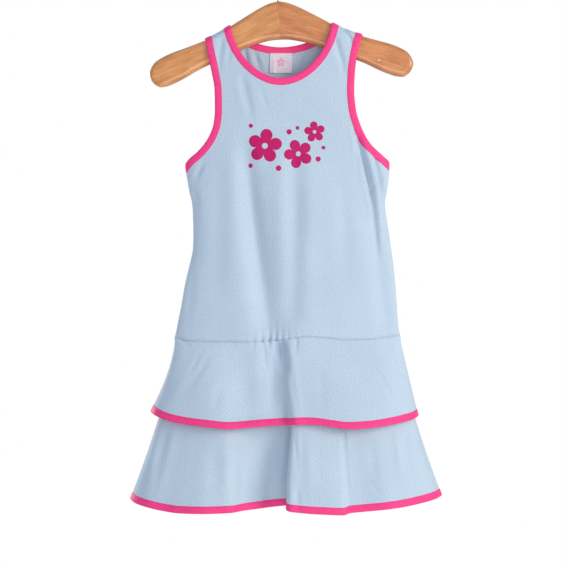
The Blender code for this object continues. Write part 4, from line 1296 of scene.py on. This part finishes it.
def flower_reach(angle):
    """The flower's outline: its reach at an angle, as a share of its radius."""
    return 1.0 - PETAL_NOTCH + PETAL_NOTCH * np.abs(np.cos(angle * PETALS / 2)) ** PETAL_ROUNDING


def dot_reach(angle):
    """A round dot's outline."""
    return np.ones(np.shape(angle))


def raised_shape(name, surface, thickness, middle, radius, turn, outline, eye):
    """A thin closed shape on a surface, from the edge of its eye to its outline."""
    angle = np.linspace(0.0, 2 * math.pi, OUTLINE_POINTS)[:, None]
    reach = radius * mix(eye, outline(angle), column(RAISED_SECTION, 0)[None, :])
    x = middle[0] + reach * np.cos(angle + math.radians(turn))
    z = middle[1] + reach * np.sin(angle + math.radians(turn))
    place, normal = surface(x, z)
    bottom = place + normal * SUNK * thickness
    place = place + normal * (column(RAISED_SECTION, 1) * thickness)[:, None]
    cloth = np.stack([x, z], axis=-1)
    shape = cloth_piece(name, [(place, cloth), (bottom[:, ::-1], cloth[:, ::-1])], 0.0)
    shape.modifiers.remove(shape.modifiers["cloth thickness"])
    return shape


def on_chest(x, z):
    """The front panel's outer face."""
    place, normal = bodice_place("front", turn_at(x, z), z)
    return place + normal * CLOTH / 2, normal


shapes = [("flower", k, *row, flower_reach, FLOWER_EYE) for k, row in enumerate(FLOWERS)]
shapes += [("dot", k, *row, 0.0, dot_reach, DOT_EYE) for k, row in enumerate(DOTS)]
for kind, k, x, z, *outline in shapes:
    shape = raised_shape(f"printed_{kind}_{k + 1}", on_chest, INK_THICKNESS, (x, z), *outline)
    place_piece(shape, ink, None)

# %% [markdown]
# The label inside the back neck is woven satin ribbon, folded double and caught in the binding's seam, with a small
# woven flower on it. Satin's long floats run one way, so it shines in soft bands and shows fine lines. It stands
# off the panel a little towards its lower fold, and its corners lift.

# %% The neck label
LABEL_WIDTH = 25.7
LABEL_HEIGHT = 21.6
LABEL_THICKNESS = 0.5
LABEL_UNDER_BINDING = 1.5
LABEL_CLEARANCE = 0.1
LABEL_STAND_OFF = 1.6
# How the label stands off towards its lower fold: evenly, at its corners, and in a wave across
LABEL_CURL = 1.6
LABEL_EVEN = 0.55
LABEL_CORNERS = 1.4
LABEL_WAVE = 0.25
LABEL_WAVES = 5.0
# A fold down it, in shares of its width
LABEL_FOLD = 0.9
LABEL_FOLD_AT = -0.33
LABEL_FOLD_WIDTH = 0.07
LABEL_COLUMNS = 41
LABEL_ROWS = 31
MOTIF_DROP = 10.5
MOTIF_RADIUS = 5.2
MOTIF_DOT_AT = 8.0
MOTIF_DOT_RADIUS = 0.9
WEAVE_THICKNESS = 0.1
SATIN_FLOAT_MM = (14.0, 1.1, 1.1)
SATIN_COLOURS = ((0.3, "#DCC9D2"), (0.55, "#E8DAE1"), (0.75, "#F3E9EE"))
WEFT_COLOURS = ((0.3, "#E59AB8"), (0.55, "#EBA9C3"), (0.75, "#F2BBD0"))

satin = new_material("white_woven_satin", Roughness=0.38, Specular_IOR_Level=0.55, Sheen_Weight=0.1)
ribbon = (add_node(satin, "ShaderNodeTexCoord"), "UV")
floats, satin_colour = add_pattern(satin, ribbon, SATIN_FLOAT_MM, SATIN_COLOURS, Detail=3.0)
set_surface(satin, (satin_colour, "Color"), (floats, "Fac"), strength=0.25, depth=0.0003)

# The motif is woven in with a dyed weft of the same satin
weave = satin.copy()
weave.name = "pale_pink_satin_weft"
set_ramp(weave.node_tree.nodes[satin_colour.name], WEFT_COLOURS)

label_top = float(NeckEdge("back", BINDING_WIDTH).at(np.array(0.0))[1]) + LABEL_UNDER_BINDING


def label_middle(x, height):
    """The label's middle surface, which looks forward through the neck, and its normals."""
    place, normal = bodice_place("back", turn_at(x, height), height)
    across = (x - NECK_MIDDLE) / LABEL_WIDTH
    drop = np.clip((label_top - height) / (LABEL_HEIGHT + LABEL_UNDER_BINDING), 0.0, 1.0)
    wave = LABEL_WAVE * np.sin(across * LABEL_WAVES + 1.0)
    lift = drop**LABEL_CURL * (LABEL_EVEN + LABEL_CORNERS * across**2 + wave)
    fold = LABEL_FOLD * drop * np.exp(-(((across - LABEL_FOLD_AT) / LABEL_FOLD_WIDTH) ** 2))
    stand_off = CLOTH / 2 + LABEL_THICKNESS / 2 + LABEL_CLEARANCE + LABEL_STAND_OFF * lift + fold
    return place - normal * stand_off[..., None], -normal


def on_label(x, height):
    """The label's front face."""
    place, normal = label_middle(x, height)
    return place + normal * LABEL_THICKNESS / 2, normal


x, height = np.meshgrid(
    NECK_MIDDLE + LABEL_WIDTH * np.linspace(-0.5, 0.5, LABEL_COLUMNS),
    label_top - (LABEL_HEIGHT + LABEL_UNDER_BINDING) * np.linspace(0.0, 1.0, LABEL_ROWS),
)
label = place_piece(
    cloth_piece("satin_label", [(label_middle(x, height)[0], np.stack([x, height], axis=-1))], LABEL_THICKNESS),
    satin,
    "label",
    "neck_label",
)
for name, across, *outline in (
    ("woven_flower", 0.0, MOTIF_RADIUS, 90.0, flower_reach, FLOWER_EYE),
    ("woven_dot_left", -MOTIF_DOT_AT, MOTIF_DOT_RADIUS, 0.0, dot_reach, DOT_EYE),
    ("woven_dot_right", MOTIF_DOT_AT, MOTIF_DOT_RADIUS, 0.0, dot_reach, DOT_EYE),
):
    middle = (NECK_MIDDLE + across, label_top - MOTIF_DROP)
    place_piece(raised_shape(name, on_label, WEAVE_THICKNESS, middle, *outline), weave, "label")
print("label", LABEL_WIDTH, "by", LABEL_HEIGHT, "mm")

# %% [markdown]
# The hanger is two halves of varnished hardwood, glued at the middle. Each was sawn from a flat board and its
# edges were rounded with a cutter, so the faces are flat and only the last five millimetres turn over. A rounded
# box or a bevelled outline would do it, but the thickness is worked out here from each point's distance to the
# outline, which gives the same edge along the arm and round its tip. The grain runs along each arm.

# %% Finish: varnished hardwood
# Sizes along the grain, across it and through the board
GRAIN_MM = (60.0, 1.7, 1.7)
PORE_MM = (9.0, 0.7, 0.7)
PORE_MASK = ((0.56, "#000000"), (0.70, "#C0C0C0"))
FIGURE_MM = (26.0, 7.0, 7.0)
FIGURE_COLOURS = ((0.35, "#E9D6C1"), (0.6, "#FFFFFF"))
TONE_LENGTH_MM = 190.0


def varnished_wood(name, tones, pore_colour, shift):
    """Plain-sawn hardwood under clear varnish, its coordinates in metres along and across the arm."""
    material = new_material(name, Roughness=0.45, Coat_Weight=0.9, Coat_Roughness=0.1, Coat_IOR=1.5)
    board = (add_node(material, "ShaderNodeTexCoord"), "UV")
    grain, grain_colour = add_pattern(
        material, board, GRAIN_MM, tuple(zip((0.32, 0.5, 0.68), tones)), (shift, shift, 0.0),
        Detail=5.0, Roughness=0.6, Distortion=0.3,
    )
    _, pores = add_pattern(material, board, PORE_MM, PORE_MASK, (shift, 0.0, 0.0), Detail=2.0)
    _, figure = add_pattern(material, board, FIGURE_MM, FIGURE_COLOURS, (0.0, shift, 0.0), Detail=3.0)
    place = add_node(material, "ShaderNodeSeparateXYZ", links={"Vector": board})
    share = add_node(
        material, "ShaderNodeMath", settings={"operation": "MULTIPLY"}, values={1: 1000 / TONE_LENGTH_MM},
        links={0: (place, "X")},
    )
    tone = add_node(material, "ShaderNodeValToRGB", links={"Fac": (share, "Value")})
    set_ramp(tone, ((0.0, "#F2ECE4"), (0.55, "#FFFFFF"), (1.0, "#F8F2EA")))
    colour = add_node(
        material, "ShaderNodeMix", settings={"data_type": "RGBA"}, values={7: linear(pore_colour)},
        links={0: (pores, "Color"), 6: (grain_colour, "Color")},
    )
    for layer in (figure, tone):
        colour = add_node(
            material, "ShaderNodeMix", settings=MULTIPLY, values={0: 1.0},
            links={6: (colour, 2), 7: (layer, "Color")},
        )
    set_surface(material, (colour, 2), (grain, "Fac"), strength=0.1, depth=0.0004)
    return material


wood = {
    "left": varnished_wood("varnished_hardwood_golden", ("#D98F49", "#E39B57", "#EDAB69"), "#B97238", 0.0),
    "right": varnished_wood("varnished_hardwood_reddish", ("#D18043", "#DC8D4F", "#E69B5E"), "#AD6434", 7.3),
}

# %% The two wooden arms
EDGE_RADIUS = 5.0
GRAIN_SLOPE = math.radians(19.0)
JOINT_GAP = 0.03
ARM_SECTIONS = 110
ARM_CROWDING = 0.9
ARM_PLACES = 41
# Share across the face; the places crowd towards both edges, where the face turns over
ARM_SHARES = 0.5 - 0.5 * np.cos(np.linspace(0.0, math.pi, ARM_PLACES))
SHARP_EDGE = math.radians(50.0)


def wooden_arm(side):
    """Half of the hanger: two faces that turn over at the outline, and the flat of the edge between them."""
    reach = ARM_TIP * np.sin(np.linspace(0.0, math.pi / 2, ARM_SECTIONS)) ** ARM_CROWDING
    reach[0] = JOINT_GAP
    top, bottom = arm_top(reach), arm_bottom(reach)
    outline = np.concatenate([np.stack([reach, top], axis=1), np.stack([reach, bottom], axis=1)[::-1]])
    outline[0, 0] = outline[-1, 0] = -EDGE_RADIUS
    across = mix(top[:, None], bottom[:, None], ARM_SHARES[None, :])
    along = reach[:, None] + 0.0 * across
    from_edge = np.min([away for *_, away in path_pieces(outline, along, across)], axis=0)
    inside = np.minimum(from_edge, EDGE_RADIUS)
    half = HANGER_THICKNESS / 2 - EDGE_RADIUS + np.sqrt(EDGE_RADIUS**2 - (EDGE_RADIUS - inside) ** 2)
    x, z = turned(SIDE_SIGN[side] * along, across)
    points = np.concatenate([np.stack([x, sign * half, z], axis=-1).reshape(-1, 3) for sign in (-1.0, 1.0)])
    front = np.arange(x.size).reshape(x.shape)
    sheet = quads_of(front)
    rim = np.concatenate([front[:, 0], front[-1, 1:], front[-2::-1, -1], front[0, -2::-1]])
    edge = np.stack([rim[:-1], rim[1:], rim[1:] + x.size, rim[:-1] + x.size], axis=-1)
    quads = np.concatenate([sheet, sheet[:, ::-1] + x.size, edge])
    grain = along * math.cos(GRAIN_SLOPE) - across * math.sin(GRAIN_SLOPE)
    spread = along * math.sin(GRAIN_SLOPE) + across * math.cos(GRAIN_SLOPE)
    sides = [np.stack([grain, spread + shift], axis=-1).reshape(-1, 2) for shift in (0.0, HANGER_THICKNESS)]
    name = "wooden_arm_" + side
    mesh = mesh_of(name, points, quads.tolist(), np.concatenate(sides))
    mesh.set_sharp_from_angle(angle=SHARP_EDGE)
    return place_piece(bpy.data.objects.new(name, mesh), wood[side], "wood", "hanger_arm_" + side)


arms = {side: wooden_arm(side) for side in SIDE_SIGN}
print("arms:", [len(arm.data.polygons) for arm in arms.values()], "quads")

# %% [markdown]
# Old hangers are chipped. Near the right tip a fleck of varnish has come off and the raw wood shows pale. It is a
# tiny shape of its own, set just proud of the face.

# %% The chip in the varnish
CHIP_MIDDLE = (117.8, -129.9)
CHIP_RADIUS = 1.25
CHIP_TURN = 35.0
CHIP_THICKNESS = 0.06
RAW_GRAIN_MM = (0.83, 0.83, 0.83)

raw_wood = new_material("raw_pale_wood", Roughness=0.85)
raw_at = (add_node(raw_wood, "ShaderNodeTexCoord"), "UV")
_, pale = add_pattern(raw_wood, raw_at, RAW_GRAIN_MM, ((0.3, "#F3E4D2"), (0.7, "#FDF4E8")), Detail=1.0)
set_surface(raw_wood, (pale, "Color"))


def chip_reach(angle):
    """An uneven, drawn-out outline."""
    return 0.68 + 0.22 * np.cos(2 * angle) + 0.1 * np.cos(5 * angle + 1.0)


def on_arm(x, z):
    """The flat of the hanger's front face."""
    y = np.full(np.shape(x), -HANGER_THICKNESS / 2)
    return np.stack([x, y, z], axis=-1), np.broadcast_to([0.0, -1.0, 0.0], (*np.shape(x), 3))


chip = raised_shape(
    "varnish_chip", on_arm, CHIP_THICKNESS, CHIP_MIDDLE, CHIP_RADIUS, CHIP_TURN, chip_reach, DOT_EYE
)
place_piece(chip, raw_wood, "wood")

# %% [markdown]
# The hook is a 4 mm steel wire, bent cold and nickel plated: a straight stem in the wood, a short bend, and most
# of a circle. A curve with a round bevel is the plain way to make bent wire. Its tip is rounded by letting the
# last points' radius fall off.

# %% The wire hook
HOOK_WIRE = 4.0
HOOK_INNER_RADIUS = 17.0
HOOK_NECK_RADIUS = 9.0
HOOK_TIP_ANGLE = math.radians(197.0)
BORE_DEPTH = 20.0
BORE_CLEARANCE = 1.0
BEND_POINTS = 13
BOW_POINTS = 61
BEVEL_RESOLUTION = 6
# Share of the wire's radius at its last points, from the tip
TIP_RADII = (0.45, 0.9)
STEEL_MM = (2.86, 2.86, 2.86)

steel = new_material("nickel_plated_steel_wire", Metallic=1.0, Roughness=0.24)
steel_at = (add_node(steel, "ShaderNodeTexCoord"), "Object")
_, silver = add_pattern(steel, steel_at, STEEL_MM, ((0.3, "#BFBBB3"), (0.7, "#D6D3CC")), Detail=3.0)
set_surface(steel, (silver, "Color"))

bow = HOOK_INNER_RADIUS + HOOK_WIRE / 2
bow_height = -HOOK_INNER_RADIUS
neck_height = bow_height - math.sqrt((bow + HOOK_NECK_RADIUS) ** 2 - HOOK_NECK_RADIUS**2)
meet = math.atan2(bow_height - neck_height, -HOOK_NECK_RADIUS)
bend = np.linspace(math.pi, meet, BEND_POINTS)
circle = np.linspace(meet - math.pi, HOOK_TIP_ANGLE, BOW_POINTS)[1:]
hook_x = np.concatenate([[0.0], HOOK_NECK_RADIUS * (1 + np.cos(bend)), bow * np.cos(circle)])
hook_z = np.concatenate([
    [APEX - BORE_DEPTH + BORE_CLEARANCE],
    neck_height + HOOK_NECK_RADIUS * np.sin(bend),
    bow_height + bow * np.sin(circle),
])
hook_x, hook_z = turned(hook_x, hook_z)
wire = bpy.data.curves.new("hook_wire", "CURVE")
wire.dimensions = "3D"
wire.bevel_depth = HOOK_WIRE / 2 * MM
wire.bevel_resolution = BEVEL_RESOLUTION
wire.use_fill_caps = True
line = wire.splines.new("POLY")
line.points.add(len(hook_x) - 1)
for point, x, z in zip(line.points, hook_x, hook_z):
    point.co = (x * MM, 0.0, z * MM, 1.0)
for point, radius in zip(reversed(line.points), TIP_RADII):
    point.radius = radius
line.use_smooth = True
place_piece(bpy.data.objects.new("hook_wire", wire), steel, "hook", "hanger_hook")
print("hook points:", len(line.points))

# %% [markdown]

# %% [markdown]
# The dress is lit as in a small studio: a large soft light in front on the right, a little above the hook, which
# shades the left flank of each fold; a weaker one in front and level with the dress, so low that the varnish
# doesn't mirror it in the hanger's faces but only in their lower edges; one behind for the back; and an even pale
# room. The room looks white, and the floor is plain and pale.

# %% Floor, lights and room
FLOOR_HEIGHT = -1.0
FLOOR_RADIUS = 1.5
FLOOR_CORNERS = 96
DRESS_MIDDLE = Vector((0.0, 0.0, -0.38))
ROOM_GLOW = 0.57

angle = np.linspace(0.0, 2 * math.pi, FLOOR_CORNERS, endpoint=False)
floor_mesh = bpy.data.meshes.new("floor")
floor_mesh.from_pydata(
    [(FLOOR_RADIUS * math.cos(a), FLOOR_RADIUS * math.sin(a), FLOOR_HEIGHT) for a in angle],
    [],
    [list(range(len(angle)))],
)
floor = bpy.data.objects.new("floor", floor_mesh)
floor_mesh.materials.append(new_material("pale_floor", Base_Color=linear("#F2F2F2"), Roughness=0.8))
bpy.context.scene.collection.objects.link(floor)


def soft_light(name, place, size, watts, colour):
    """A square area light at a place in metres, turned to the middle of the dress."""
    light = bpy.data.lights.new(name, "AREA")
    light.color = linear(colour)[:3]
    light.shape = "SQUARE"
    light.size = size
    light.energy = watts
    lamp = bpy.data.objects.new(name, light)
    lamp.location = place
    lamp.rotation_euler = (DRESS_MIDDLE - Vector(place)).to_track_quat("-Z", "Y").to_euler()
    bpy.context.scene.collection.objects.link(lamp)


soft_light("key", (1.82, -1.4, 0.15), 1.0, 28.0, "#FFFBF1")
soft_light("front", (0.3, -2.15, -0.45), 1.0, 10.5, "#FFFFFF")
soft_light("back_key", (-1.7, 1.5, 0.0), 0.9, 34.0, "#FFFBF1")

room = bpy.data.worlds.new("pale_room")
room.use_nodes = True
room.node_tree.nodes.clear()
seen = add_node(room, "ShaderNodeBackground", values={"Color": linear("#FFFFFF")})
glow = add_node(room, "ShaderNodeBackground", values={"Color": linear("#DCEBFF"), "Strength": ROOM_GLOW})
ray = add_node(room, "ShaderNodeLightPath")
pick = add_node(room, "ShaderNodeMixShader", links={0: (ray, "Is Camera Ray"), 1: (glow, 0), 2: (seen, 0)})
add_node(room, "ShaderNodeOutputWorld", links={"Surface": (pick, 0)})
bpy.context.scene.world = room
